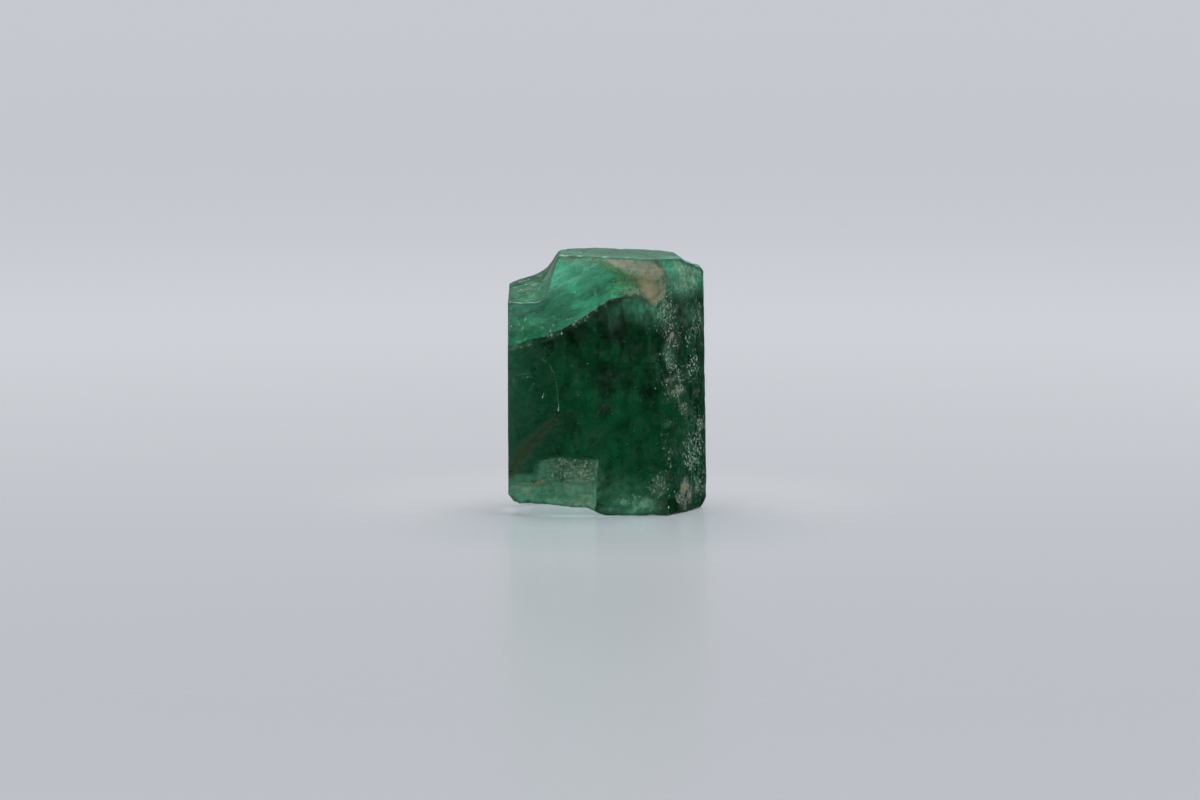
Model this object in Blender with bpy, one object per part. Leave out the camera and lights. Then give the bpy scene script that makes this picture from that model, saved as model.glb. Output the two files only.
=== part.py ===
"""Raw emerald crystal: one hexagonal beryl prism, standing on its broken-in base.

The body is one natural solid. It starts as a six-sided prism with a flat basal face at each end, its side
faces leaning in slightly towards the top, and is then broken the way beryl breaks: shell-like fractures take
off its corners, one side face is pitted and uneven, and the base is chipped on the left.

Everything is drawn in millimetres, and each object is scaled by MM to metres. +Z is the crystal's long axis,
the broad prism face looks along -Y, and the origin is the middle of the bounding box's bottom.
"""

import math

import bmesh
import bpy
import numpy as np
from mathutils import Vector

MM = 0.001

# Driving dimensions, in millimetres and degrees
HEIGHT = 16.0  # along the c axis, base to upper basal face
WIDTH = 12.4  # left edge to right edge
DEPTH = 9.0  # broad front face to back face
FRONT_FACE_WIDTH = 10.0  # the broad prism face, left edge to the first 60 degree edge
LEAN = 0.8  # how far the right side faces lean in towards the top, degrees
TOP_TILT = 1.1  # the upper basal face falls to the right by this, degrees
EDGE_WEAR = 0.14  # worn prism edges
NOTCH_FLOOR = 13.1  # lowest height of the step broken out of the upper left corner
BASE_RISE = 0.98  # how far the chipped left of the base stands off the ground
HEEL_X, HEEL_Y = -3.3, 3.3  # middle of the small part of that side that still reaches the ground
STEP = 0.5  # spacing of the points on a fractured surface

HALF_W, HALF_D = WIDTH / 2, DEPTH / 2
FRONT_RIGHT = FRONT_FACE_WIDTH - HALF_W


# ---------------------------------------------------------------- noise


def lattice(seed):
    rng = np.random.default_rng(seed)
    gradient = rng.normal(size=(256, 3))
    gradient /= np.linalg.norm(gradient, axis=1, keepdims=True)
    return np.tile(rng.permutation(256), 2), gradient


TABLE, GRADIENT = lattice(7)


def noise(x, y, z):
    """Smooth gradient noise, about -1 to 1, at arrays of points."""
    x, y, z = np.broadcast_arrays(*(np.asarray(a, float) for a in (x, y, z)))
    ix, iy, iz = (np.floor(a).astype(int) for a in (x, y, z))
    fx, fy, fz = x - ix, y - iy, z - iz
    ux, uy, uz = (f * f * f * (f * (f * 6 - 15) + 10) for f in (fx, fy, fz))
    total = np.zeros(x.shape)
    for dx in (0, 1):
        wx = ux if dx else 1 - ux
        for dy in (0, 1):
            wy = uy if dy else 1 - uy
            for dz in (0, 1):
                wz = uz if dz else 1 - uz
                h = TABLE[(ix + dx) & 255]
                h = TABLE[(h + iy + dy) & 255]
                h = TABLE[(h + iz + dz) & 255]
                g = GRADIENT[h]
                total += (
                    wx * wy * wz
                    * (g[..., 0] * (fx - dx) + g[..., 1] * (fy - dy) + g[..., 2] * (fz - dz))
                )
    return total * 1.6


def fractal(x, y, z, octaves=3):
    total, size = 0.0, 1.0
    for i in range(octaves):
        total = total + noise(x / size + 17.3 * i, y / size + 5.1 * i, z / size) * size
        size *= 0.5
    return total


def smooth(a, b, t):
    t = np.clip((t - a) / (b - a), 0, 1)
    return t * t * (3 - 2 * t)


def soft_ramp(t, width):
    """0 below zero and t above it, with a rounded corner."""
    return width * np.logaddexp(0, t / width)


# ---------------------------------------------------------------- the prism

# Side faces as (azimuth of the outward normal from -Y towards +X, distance from the axis, lean in)
def side(azimuth, through, lean=0.0):
    a, b = math.radians(azimuth), math.radians(lean)
    n = Vector((math.sin(a) * math.cos(b), -math.cos(a) * math.cos(b), math.sin(b)))
    return n, n.dot(Vector((*through, 0)))


RIGHT_EDGE_Y = -HALF_D + (HALF_W - FRONT_RIGHT) * math.tan(math.radians(60))
SIDES = [
    side(0, (0, -HALF_D)),
    side(60, (HALF_W, RIGHT_EDGE_Y), LEAN),
    side(120, (HALF_W, RIGHT_EDGE_Y), LEAN),
    side(180, (0, HALF_D)),
    side(240, (-HALF_W, 0.52)),
    side(270, (-HALF_W, 0)),
]
TOP_NORMAL = Vector((math.sin(math.radians(TOP_TILT)), 0, math.cos(math.radians(TOP_TILT))))
TOP = (TOP_NORMAL, TOP_NORMAL.dot(Vector((-2.5, 0, HEIGHT))))
BASE = (Vector((0, 0, -1)), 0.0)


def meet(p, q, r):
    """The point where three planes meet."""
    (n1, d1), (n2, d2), (n3, d3) = p, q, r
    return (d1 * n2.cross(n3) + d2 * n3.cross(n1) + d3 * n1.cross(n2)) / n1.dot(n2.cross(n3))


def prism():
    bm = bmesh.new()
    count = len(SIDES)
    base = [bm.verts.new(meet(SIDES[i - 1], SIDES[i], BASE)) for i in range(count)]
    top = [bm.verts.new(meet(SIDES[i - 1], SIDES[i], TOP)) for i in range(count)]
    bm.faces.new(base[::-1])
    bm.faces.new(top)
    for i in range(count):
        j = (i + 1) % count
        bm.faces.new((base[i], base[j], top[j], top[i]))
    bmesh.ops.recalc_face_normals(bm, faces=bm.faces)
    return bm


# ---------------------------------------------------------------- fractured surfaces


def cutter(name, us, vs, surface, away):
    """A block that cuts along surface(u, v), a grid of points, and lies on the away side of it."""
    u, v = np.meshgrid(us, vs, indexing="ij")
    points = np.stack(np.broadcast_arrays(*surface(u, v)), axis=-1)
    bm = bmesh.new()
    verts = [[bm.verts.new(p) for p in row] for row in points]
    for i in range(len(us) - 1):
        for j in range(len(vs) - 1):
            bm.faces.new((verts[i][j], verts[i + 1][j], verts[i + 1][j + 1], verts[i][j + 1]))
    grown = bmesh.ops.extrude_face_region(bm, geom=list(bm.faces))
    lifted = [g for g in grown["geom"] if isinstance(g, bmesh.types.BMVert)]
    away = Vector(away)
    side_of = away.normalized()
    far = max(side_of.dot(v.co) for v in bm.verts) + away.length
    for vert in lifted:
        vert.co += side_of * (far - side_of.dot(vert.co))
    bmesh.ops.triangulate(bm, faces=bm.faces)
    bmesh.ops.recalc_face_normals(bm, faces=bm.faces)
    obj = add(name, bm)
    obj.hide_render = True
    obj.display_type = "WIRE"
    return obj


def add(name, bm):
    mesh = bpy.data.meshes.new(name)
    bm.to_mesh(mesh)
    bm.free()
    obj = bpy.data.objects.new(name, mesh)
    obj.scale = (MM, MM, MM)
    bpy.context.collection.objects.link(obj)
    return obj


def spread(a, b, step=STEP):
    return np.linspace(a, b, max(2, round((b - a) / step) + 1))


def notch_height(x, y):
    """The step broken out of the upper left: a sloping floor, and a riser that climbs to the basal face."""
    back = smooth(-4.7, 0.8, y)
    floor = NOTCH_FLOOR + back * (1.0 + 0.3 * (x + HALF_W))
    foot = -4.0 + 0.35 * back
    steep = 3.6 - 1.7 * back
    rise = soft_ramp(x - foot, 0.16 + 0.1 * back) * steep
    height = floor + rise + 0.1 * fractal(x / 1.9, y / 1.9, 3.3)
    brim = HEIGHT + 0.1
    return brim - soft_ramp(brim - height, 0.24)


def corner_height(x, y):
    """The chipped upper right corner: a scallop down to a small shelf, then the rounded corner itself."""
    scallop = HEIGHT + 0.12 - 0.7 * smooth(3.75, 4.95, x + 0.06 * y)
    shelf = scallop - 0.16 * soft_ramp(x - 4.9, 0.1) - 1.9 * soft_ramp(x - 5.72, 0.1)
    return shelf + 0.05 * np.sin(3.1 * x + 0.5 * y) + 0.09 * fractal(x / 1.3, y / 1.3, 8.1)


def break_line(x):
    """Height on the broad face at which the upper fracture starts."""
    t = np.minimum(x, 0.2) + HALF_W
    line = 10.1 + 0.2 * t + 0.045 * t * t
    return line - 0.1 * soft_ramp(x - 1.6, 0.4) + 0.04 * noise(x * 0.9, 1.7, 0.4)


def upper_break(x, v):
    """The shallow fracture that takes off the upper part of the broad face. v is the height above its lower edge."""
    z = break_line(x) + v
    above = np.maximum(v, 0)
    depth = 0.1 * (1 - np.exp(-above / 0.18)) + 0.17 * above
    ripple = 0.045 * np.sin(2.3 * above + 0.6 * x) * smooth(0.2, 1.4, above)
    depth = depth + ripple + 0.05 * smooth(0, 1, above) * fractal(x / 1.7, 0.3, z / 1.7)
    depth = depth * (1 - 0.72 * smooth(0.6, 3.4, x)) - 0.05 * smooth(0.6, 1.8, x) * smooth(1.2, 0, above)
    return x, -HALF_D + np.where(v < 0, 1.2 * v, depth), z


def ledge_depth(x, z):
    """The broken ledge at the lower left of the broad face: two shallow steps, one above the other."""
    wander = 0.16 * noise(x * 0.8, 2.2, 0.5)
    right = -0.64 + 0.06 * (z - 1.5) + 0.08 * noise(9.2, z * 1.3, 0.1)
    inside = smooth(0.02, 0.42, right - x)
    upper = smooth(0.0, 0.3, 3.7 + wander - z) * smooth(-4.6, -3.6, x)
    lower = smooth(0.0, 0.35, 2.2 + 0.6 * wander - z)
    depth = inside * (0.24 * upper + 0.3 * lower)
    return depth + 0.09 * inside * np.maximum(upper, lower) * fractal(x / 0.9, 4.4, z / 0.6) - 0.012


def base_height(x, y):
    """The underside of the chipped left of the base, which stands clear of the ground but for a small heel at the back."""
    along = BASE_RISE * (0.6 * smooth(0.1, -1.6, x) + 0.4 * smooth(-1.5, -6.0, x))
    corner = 0.6 * smooth(-5.45, -6.35, x) ** 2
    clear = smooth(0.7, 1.9, np.hypot(1.2 * (x - HEEL_X), 0.85 * (y - HEEL_Y)) + 0.75 * noise(x / 1.4, y / 1.4, 2.6))
    return (along + 0.06 * fractal(x / 1.5, y / 1.5, 1.1) * smooth(-0.3, -1.4, x)) * clear + corner - 0.015


def foot_height(x, y):
    """The rounded lower right corner."""
    round_off = 0.12 * soft_ramp(x - 4.9, 0.15) + 2.1 * soft_ramp(x - 5.86, 0.08)
    return round_off - 0.04 + 0.05 * fractal(x / 1.1, y / 1.1, 7.7) * smooth(4.8, 5.6, x)


def pitted(u, v):
    """The uneven right front face. u runs along the face from its front edge, v is the height."""
    (n, d) = SIDES[1]
    start = np.array((FRONT_RIGHT, -HALF_D, 0.0))
    along = np.array((0.5, math.sin(math.radians(60)), 0.0))
    n = np.array(n)
    inward = 0.1 + 0.16 * fractal(u / 1.6, v / 2.4, 6.6) + 0.06 * noise(u * 1.7, v * 1.1, 2.2)
    inward = np.maximum(inward * smooth(4.75, 3.7, u), 0.015)
    p = start + u[..., None] * along + np.stack([0 * v, 0 * v, v], -1)
    off = p @ n - d
    p = p - (off + inward)[..., None] * n
    return p[..., 0], p[..., 1], p[..., 2]


def shoulder(u, v):
    """The bruised edge between the broad face and the right front face, wider towards the top."""
    a = math.radians(30)
    n = np.array((math.sin(a), -math.cos(a), 0.047))
    along = np.array((math.cos(a), math.sin(a), 0.0))
    reach = 5.24 + 0.047 * 13.0 + 0.09 * fractal(u / 1.2, v / 1.5, 5.5)
    p = u[..., None] * along + np.stack([0 * v, 0 * v, v], -1)
    off = p @ n - reach
    p = p - off[..., None] * np.array((math.sin(a), -math.cos(a), 0.0))
    return p[..., 0], p[..., 1], p[..., 2]


def shell(name, centre, normal, up, half, bowl, roll, seed):
    """A shell-like fracture: a bowl pressed into the crystal, with rings that fade from where the break began."""
    n = Vector(normal).normalized()
    v_axis = (Vector(up) - n * n.dot(Vector(up))).normalized()
    u_axis = v_axis.cross(n)
    n, v_axis, u_axis, centre = (np.array(a) for a in (n, v_axis, u_axis, centre))

    def surface(u, v):
        r = np.hypot(u + half * 0.5, v - half * 0.6)
        w = bowl * ((u / half) ** 2 + (v / half) ** 2)
        w = w + roll * np.sin(1.35 * r + 0.8 * noise(u * 0.3, v * 0.3, seed)) * np.exp(-r / (1.3 * half))
        w = w + 0.12 * fractal(u / 2.4, v / 2.4, seed)
        p = centre + u[..., None] * u_axis + v[..., None] * v_axis + w[..., None] * n
        return p[..., 0], p[..., 1], p[..., 2]

    return cutter(name, spread(-half, half, 0.62), spread(-half, half, 0.62), surface, tuple(n * 3))


def main():
    for obj in list(bpy.data.objects):
        bpy.data.objects.remove(obj)

    crystal = add("emerald_crystal", prism())
    worn = crystal.modifiers.new("worn_edges", "BEVEL")
    worn.width = EDGE_WEAR
    worn.segments = 2
    worn.limit_method = "ANGLE"

    cutters = [
        cutter("cut_notch", np.concatenate([spread(-7.5, -4.6, 0.5), spread(-4.3, -1.5, 0.28)]),
               spread(-5.6, 5.6), lambda x, y: (x, y, notch_height(x, y)), (0, 0, 4)),
        cutter("cut_corner", spread(3.3, 7.0, 0.36), spread(-5.6, 5.6),
               lambda x, y: (x, y, corner_height(x, y)), (0, 0, 4)),
        cutter("cut_upper_break", spread(-7.3, 7.3),
               np.concatenate([[-0.4, 0.0, 0.14, 0.4], spread(0.85, 7.5)]), upper_break, (0, -3, 0)),
        cutter("cut_ledge", spread(-7.2, -0.2, 0.33), spread(-1.5, 4.2, 0.3),
               lambda x, z: (x, -HALF_D + ledge_depth(x, z), z), (0, -3, 0)),
        cutter("cut_base", spread(-7.4, 0.4, 0.42), spread(-5.6, 5.4),
               lambda x, y: (x, y, base_height(x, y)), (0, 0, -3)),
        cutter("cut_pitted_face", spread(-1.4, 6.4), spread(-1.0, 18.0), pitted, tuple(SIDES[1][0] * 3)),
        cutter("cut_shoulder", spread(-1.2, 3.2, 0.45), spread(-1.0, 18.0), shoulder,
               (math.sin(math.radians(30)) * 3, -math.cos(math.radians(30)) * 3, 0)),
        shell("cut_back_left", (-4.35, 2.7, 12.0), (-0.62, 0.7, 0.34), (0, 0, 1), 8.0, 0.55, 0.1, 4.0),
        shell("cut_back_low", (1.3, 4.3, 1.7), (0.12, 0.86, -0.5), (0, 0, 1), 7.5, 0.75, 0.12, 9.0),
        cutter("cut_foot", spread(4.3, 7.0, 0.3), spread(-5.6, 5.6),
               lambda x, y: (x, y, foot_height(x, y)), (0, 0, -3)),
        shell("cut_back_right", (4.9, 3.0, 9.2), (0.8, 0.6, 0.05), (0, 0, 1), 7.0, 0.42, 0.07, 15.0),
    ]
    for obj in cutters:
        cut = crystal.modifiers.new(obj.name, "BOOLEAN")
        cut.operation = "DIFFERENCE"
        cut.solver = "EXACT"
        cut.object = obj

    green = bpy.data.materials.new("emerald")
    green.use_nodes = True
    shader = green.node_tree.nodes["Principled BSDF"]
    shader.inputs["Base Color"].default_value = (0.02, 0.16, 0.075, 1)
    shader.inputs["Roughness"].default_value = 0.2
    shader.inputs["Metallic"].default_value = 0.0
    shader.inputs["IOR"].default_value = 1.58
    shader.inputs["Transmission Weight"].default_value = 0.6
    crystal.data.materials.append(green)
    for polygon in crystal.data.polygons:
        polygon.use_smooth = False


main()
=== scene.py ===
import math

import bmesh
import bpy
import numpy as np
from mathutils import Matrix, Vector


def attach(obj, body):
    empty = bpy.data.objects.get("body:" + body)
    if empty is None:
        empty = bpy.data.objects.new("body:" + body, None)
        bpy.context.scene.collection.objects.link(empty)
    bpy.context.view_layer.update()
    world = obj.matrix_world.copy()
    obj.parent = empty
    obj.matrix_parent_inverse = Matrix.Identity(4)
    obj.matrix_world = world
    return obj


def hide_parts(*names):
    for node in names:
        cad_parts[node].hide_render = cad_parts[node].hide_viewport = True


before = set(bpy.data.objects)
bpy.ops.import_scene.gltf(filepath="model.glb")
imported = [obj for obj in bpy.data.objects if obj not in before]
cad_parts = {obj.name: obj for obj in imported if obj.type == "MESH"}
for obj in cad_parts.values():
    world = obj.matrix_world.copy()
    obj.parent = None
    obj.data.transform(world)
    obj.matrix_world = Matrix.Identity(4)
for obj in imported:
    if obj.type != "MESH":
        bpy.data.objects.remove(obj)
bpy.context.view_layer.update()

MM = 0.001

# ================================================================ the crystal's shape, in millimetres
# The same faces and breaks as the CAD solid has, as fields that are 0 on a surface and negative inside.

HEIGHT, WIDTH, DEPTH, FRONT_FACE_WIDTH = 16.0, 12.4, 9.0, 10.0
LEAN, TOP_TILT = 0.8, 2.2
NOTCH_FLOOR, BASE_RISE = 13.1, 0.76
HEEL_X, HEEL_Y = -3.3, 3.3
HALF_W, HALF_D = WIDTH / 2, DEPTH / 2
FRONT_RIGHT = FRONT_FACE_WIDTH - HALF_W
RIGHT_EDGE_Y = -HALF_D + (HALF_W - FRONT_RIGHT) * math.tan(math.radians(60))


def lattice(seed):
    rng = np.random.default_rng(seed)
    gradient = rng.normal(size=(256, 3))
    gradient /= np.linalg.norm(gradient, axis=1, keepdims=True)
    return np.tile(rng.permutation(256), 2), gradient


TABLE, GRADIENT = lattice(7)


def noise(x, y, z):
    """Smooth gradient noise, about -1 to 1, at arrays of points."""
    x, y, z = np.broadcast_arrays(*(np.asarray(a, float) for a in (x, y, z)))
    ix, iy, iz = (np.floor(a).astype(int) for a in (x, y, z))
    fx, fy, fz = x - ix, y - iy, z - iz
    ux, uy, uz = (f * f * f * (f * (f * 6 - 15) + 10) for f in (fx, fy, fz))
    total = np.zeros(x.shape)
    for dx in (0, 1):
        wx = ux if dx else 1 - ux
        for dy in (0, 1):
            wy = uy if dy else 1 - uy
            for dz in (0, 1):
                wz = uz if dz else 1 - uz
                h = TABLE[(ix + dx) & 255]
                h = TABLE[(h + iy + dy) & 255]
                h = TABLE[(h + iz + dz) & 255]
                g = GRADIENT[h]
                total += (
                    wx * wy * wz
                    * (g[..., 0] * (fx - dx) + g[..., 1] * (fy - dy) + g[..., 2] * (fz - dz))
                )
    return total * 1.6


def fractal(x, y, z, octaves=3):
    total, size = 0.0, 1.0
    for i in range(octaves):
        total = total + noise(x / size + 17.3 * i, y / size + 5.1 * i, z / size) * size
        size *= 0.5
    return total


def smooth(a, b, t):
    t = np.clip((t - a) / (b - a), 0, 1)
    return t * t * (3 - 2 * t)


def soft_ramp(t, width):
    return width * np.logaddexp(0, t / width)


def bump_at(x, centre, reach):
    """1 at the centre and 0 from reach on, smoothly."""
    return smooth(reach, 0, np.abs(x - centre))


def side(azimuth, through, lean=0.0):
    a, b = math.radians(azimuth), math.radians(lean)
    n = np.array((math.sin(a) * math.cos(b), -math.cos(a) * math.cos(b), math.sin(b)))
    return n, float(n @ np.array((*through, 0)))


SIDES = [
    side(0, (0, -HALF_D)),
    side(60, (HALF_W, RIGHT_EDGE_Y), LEAN),
    side(120, (HALF_W, RIGHT_EDGE_Y), LEAN),
    side(180, (0, HALF_D)),
    side(240, (-HALF_W, 0.52)),
    side(270, (-HALF_W, 0)),
]
TOP_NORMAL = np.array((math.sin(math.radians(TOP_TILT)), 0, math.cos(math.radians(TOP_TILT))))
TOP_AT = float(TOP_NORMAL @ np.array((-2.5, 0, HEIGHT + 0.1)))


def notch_height(x, y):
    back = smooth(-4.7, 0.8, y)
    floor = NOTCH_FLOOR + back * (1.0 + 0.3 * (x + HALF_W))
    foot = -4.0 + 0.35 * back
    steep = 3.6 - 1.7 * back
    rise = soft_ramp(x - foot, 0.16 + 0.1 * back) * steep
    height = floor + rise + 0.1 * fractal(x / 1.9, y / 1.9, 3.3)
    brim = HEIGHT + 0.2
    return brim - soft_ramp(brim - height, 0.24)


def corner_height(x, y):
    scallop = HEIGHT + 0.12 - 0.7 * smooth(3.75, 4.95, x + 0.06 * y)
    shelf = scallop - 0.16 * soft_ramp(x - 4.9, 0.1) - 1.9 * soft_ramp(x - 5.72, 0.1)
    return shelf + 0.05 * np.sin(3.1 * x + 0.5 * y) + 0.09 * fractal(x / 1.3, y / 1.3, 8.1)


def break_line(x):
    t = np.minimum(x, 0.2) + HALF_W
    line = 10.1 + 0.2 * t + 0.045 * t * t
    return line - 0.1 * soft_ramp(x - 1.6, 0.4) + 0.04 * noise(x * 0.9, 1.7, 0.4)


def upper_depth(x, z):
    v = z - break_line(x)
    above = np.maximum(v, 0)
    depth = 0.1 * (1 - np.exp(-above / 0.18)) + 0.17 * above
    ripple = 0.045 * np.sin(2.3 * above + 0.6 * x) * smooth(0.2, 1.4, above)
    depth = depth + ripple + 0.05 * smooth(0, 1, above) * fractal(x / 1.7, 0.3, z / 1.7)
    depth = depth * (1 - 0.72 * smooth(0.6, 3.4, x)) - 0.05 * smooth(0.6, 1.8, x) * smooth(1.2, 0, above)
    return np.where(v < 0, 1.2 * v, depth)


def ledge_depth(x, z):
    wander = 0.16 * noise(x * 0.8, 2.2, 0.5)
    right = -0.64 + 0.06 * (z - 1.5) + 0.08 * noise(9.2, z * 1.3, 0.1)
    inside = smooth(0.02, 0.42, right - x)
    upper = smooth(0.0, 0.3, 3.7 + wander - z) * smooth(-4.6, -3.6, x)
    lower = smooth(0.0, 0.35, 2.2 + 0.6 * wander - z)
    depth = inside * (0.24 * upper + 0.3 * lower)
    return depth + 0.09 * inside * np.maximum(upper, lower) * fractal(x / 0.9, 4.4, z / 0.6) - 0.012


def base_height(x, y):
    along = BASE_RISE * (0.6 * smooth(0.1, -1.6, x) + 0.4 * smooth(-1.5, -6.0, x))
    corner = 0.6 * smooth(-5.45, -6.35, x) ** 2
    clear = smooth(0.7, 1.9, np.hypot(1.2 * (x - HEEL_X), 0.85 * (y - HEEL_Y)) + 0.75 * noise(x / 1.4, y / 1.4, 2.6))
    return (along + 0.06 * fractal(x / 1.5, y / 1.5, 1.1) * smooth(-0.3, -1.4, x)) * clear + corner - 0.015


def foot_height(x, y):
    round_off = 0.12 * soft_ramp(x - 4.9, 0.15) + 2.1 * soft_ramp(x - 5.86, 0.08)
    return round_off - 0.04 + 0.05 * fractal(x / 1.1, y / 1.1, 7.7) * smooth(4.8, 5.6, x)


def face_u(p):
    """Distance along the right front face from its front edge."""
    return (p[:, 0] - FRONT_RIGHT) * 0.5 + (p[:, 1] + HALF_D) * math.sin(math.radians(60))


def pitted(p):
    n, d = SIDES[1]
    u, v = face_u(p), p[:, 2]
    inward = 0.1 + 0.16 * fractal(u / 1.6, v / 2.4, 6.6) + 0.06 * noise(u * 1.7, v * 1.1, 2.2)
    inward = np.maximum(inward * smooth(4.75, 3.7, u), 0.015)
    return p @ n - d + inward


def shoulder(p):
    a = math.radians(30)
    n = np.array((math.sin(a), -math.cos(a), 0.047))
    u = p[:, 0] * math.cos(a) + p[:, 1] * math.sin(a)
    reach = 5.24 + 0.047 * 13.0 + 0.09 * fractal(u / 1.2, p[:, 2] / 1.5, 5.5)
    return p @ n - reach


def shell(p, centre, normal, half, bowl, roll, seed):
    n = np.array(Vector(normal).normalized())
    up = np.array((0.0, 0.0, 1.0))
    v_axis = up - n * (n @ up)
    v_axis /= np.linalg.norm(v_axis)
    u_axis = np.cross(v_axis, n)
    q = p - np.array(centre)
    u, v = q @ u_axis, q @ v_axis
    r = np.hypot(u + half * 0.5, v - half * 0.6)
    w = bowl * ((u / half) ** 2 + (v / half) ** 2)
    w = w + roll * np.sin(1.35 * r + 0.8 * noise(u * 0.3, v * 0.3, seed)) * np.exp(-r / (1.3 * half))
    w = w + 0.12 * fractal(u / 2.4, v / 2.4, seed)
    return np.where((np.abs(u) < half) & (np.abs(v) < half), q @ n - w, -9.0)


NAMES = ["front", "right_front", "right_back", "back", "left_back", "left", "top", "base", "notch", "corner",
         "upper", "ledge", "chip", "foot", "pitted", "shoulder", "back_left", "back_low", "back_right"]


FACES = ("front", "right_back", "back", "left_back", "left", "top", "base")
BIAS = np.array([0.0 if n in FACES else 0.04 for n in NAMES])  # a break counts as one only where it clearly cuts


def fields(p):
    """One row for each surface in NAMES."""
    x, y, z = p.T
    rows = [p @ n - d for n, d in SIDES]
    rows += [p @ TOP_NORMAL - TOP_AT, -z]
    rows += [(z - notch_height(x, y)) * 0.55, (z - corner_height(x, y)) * 0.7]
    rows += [-HALF_D + upper_depth(x, z) - y, -HALF_D + ledge_depth(x, z) - y]
    rows += [base_height(x, y) - z, (foot_height(x, y) - z) * 0.7]
    rows += [pitted(p), shoulder(p)]
    rows += [
        shell(p, (-4.35, 2.7, 12.0), (-0.62, 0.7, 0.34), 8.0, 0.55, 0.1, 4.0),
        shell(p, (1.3, 4.3, 1.7), (0.12, 0.86, -0.5), 7.5, 0.75, 0.12, 9.0),
        shell(p, (4.9, 3.0, 9.2), (0.8, 0.6, 0.05), 7.0, 0.42, 0.07, 15.0),
    ]
    return np.array(rows)


def blended(rows, k):
    """The largest field, with edges rounded by k, and how much each surface has a say there."""
    top = rows.max(0)
    weights = np.exp((rows - top) / k)
    total = weights.sum(0)
    return top + k * np.log(total), weights / total


def detail(p, share):
    """Fine relief in millimetres, inwards, from what each surface is like."""
    x, y, z = p.T
    s = dict(zip(NAMES, share))
    flat = s["front"] + s["right_back"] + s["back"] + s["left_back"] + s["left"]
    around = x * 0.8 + y * 0.6
    grooves = np.abs(noise(around * 2.6, 3.1, z * 0.05)) + 0.5 * np.abs(noise(around * 6.1, 8.3, z * 0.09))
    steps = 0.012 * smooth(-0.05, 0.05, noise(x * 0.5, z * 0.16, 1.5 + y * 0.4))
    relief = flat * (0.012 * grooves + steps)
    torn = s["notch"] + s["upper"] + s["back_left"] + s["back_low"] + s["back_right"] + s["corner"]
    relief = relief + torn * (1 - 0.6 * s["notch"]) * (0.03 * np.abs(fractal(x / 0.7, y / 0.7, z / 0.5)) + 0.02 * np.abs(noise(x * 3.3, y * 3.3, z * 4.1)))
    rough = s["pitted"] + s["shoulder"] + s["right_front"] + 0.6 * s["foot"]
    u = x * 0.5 + y * 0.87
    pits = np.maximum(0, noise(u * 2.1, 4.0, z * 1.15) - 0.12) + 0.5 * np.maximum(0, noise(u * 5.2, 7.0, z * 3.1) - 0.1)
    relief = relief + rough * (0.08 * pits + 0.05 * np.abs(noise(u * 3.0, 2.0, z * 2.4)))
    cracked = s["ledge"] + s["chip"] + 0.5 * s["base"]
    relief = relief + cracked * (0.05 * np.abs(fractal(x / 0.9, y / 0.5, z / 0.3)) + 0.03 * np.abs(noise(x * 3, y * 4, z * 6)))
    relief = relief + s["top"] * (0.02 * np.abs(fractal(x / 1.1, y / 1.1, 2.0)) + 0.012 * np.abs(noise(x * 3, y * 3, 5.0)))
    return relief


def whole(p, fine=True):
    rows = fields(p)
    wear = 0.018 + 0.075 * np.maximum(0, noise(p[:, 0] / 1.1, p[:, 1] / 1.1, p[:, 2] / 1.1) + 0.1) ** 2
    worn = np.hypot(p[:, 0] - FRONT_RIGHT - 0.1, p[:, 1] + HALF_D)
    wear = wear + 0.15 * smooth(1.3, 0.2, worn) * smooth(15.2, 14.0, p[:, 2]) * smooth(0.2, 1.0, p[:, 2])
    value, _ = blended(rows, wear)
    _, share = blended(rows - BIAS[:, None], 0.012)
    return (value + detail(p, share) if fine else value), share


def new_object(name, mesh):
    obj = bpy.data.objects.new(name, mesh)
    bpy.context.scene.collection.objects.link(obj)
    return obj


def crystal_mesh(voxel):
    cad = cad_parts["emerald_crystal"].data
    co = np.empty(len(cad.vertices) * 3, np.float32)
    cad.vertices.foreach_get("co", co)
    tris = [tuple(f.vertices) for f in cad.polygons]
    mesh = bpy.data.meshes.new("coarse")
    mesh.from_pydata((co.reshape(-1, 3) / MM).tolist(), [], tris)
    bm = bmesh.new()
    bm.from_mesh(mesh)
    bmesh.ops.remove_doubles(bm, verts=bm.verts, dist=1e-4)
    bm.to_mesh(mesh)
    bm.free()
    obj = new_object("coarse", mesh)
    remesh = obj.modifiers.new("voxels", "REMESH")
    remesh.mode = "VOXEL"
    remesh.voxel_size = voxel
    graph = bpy.context.evaluated_depsgraph_get()
    fine = bpy.data.meshes.new_from_object(obj.evaluated_get(graph))
    bpy.data.objects.remove(obj)
    p = np.empty(len(fine.vertices) * 3)
    fine.vertices.foreach_get("co", p)
    p = p.reshape(-1, 3)
    step = 0.02
    for turn in range(3):
        value, _ = whole(p)
        if turn < 2:
            gradient = np.stack(
                [(whole(p + step * np.eye(3)[i])[0] - value) / step for i in range(3)], -1
            )
            length = np.maximum((gradient ** 2).sum(1), 0.25)
        move = value / length
        p = p - np.clip(move, -0.3, 0.3)[:, None] * gradient
    value, share = whole(p)
    print("crystal: %d vertices, largest miss %.4f mm, typical %.5f" % (len(p), np.abs(value).max(), np.abs(value).mean()))
    fine.vertices.foreach_set("co", (p * MM).ravel())
    fine.update()
    return fine, p, share




mesh, P, SHARE = crystal_mesh(0.095)
crystal = new_object("crystal", mesh)
mesh.shade_smooth()
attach(crystal, "root")
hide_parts("emerald_crystal")

# ================================================================ where the stone is cloudy, rough or stained
NORMAL = np.empty(len(P) * 3, np.float32)
mesh.vertex_normals.foreach_get("vector", NORMAL)
NORMAL = NORMAL.reshape(-1, 3).astype(float)
# Places on the broad face are given as (x, z) in millimetres.


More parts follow.
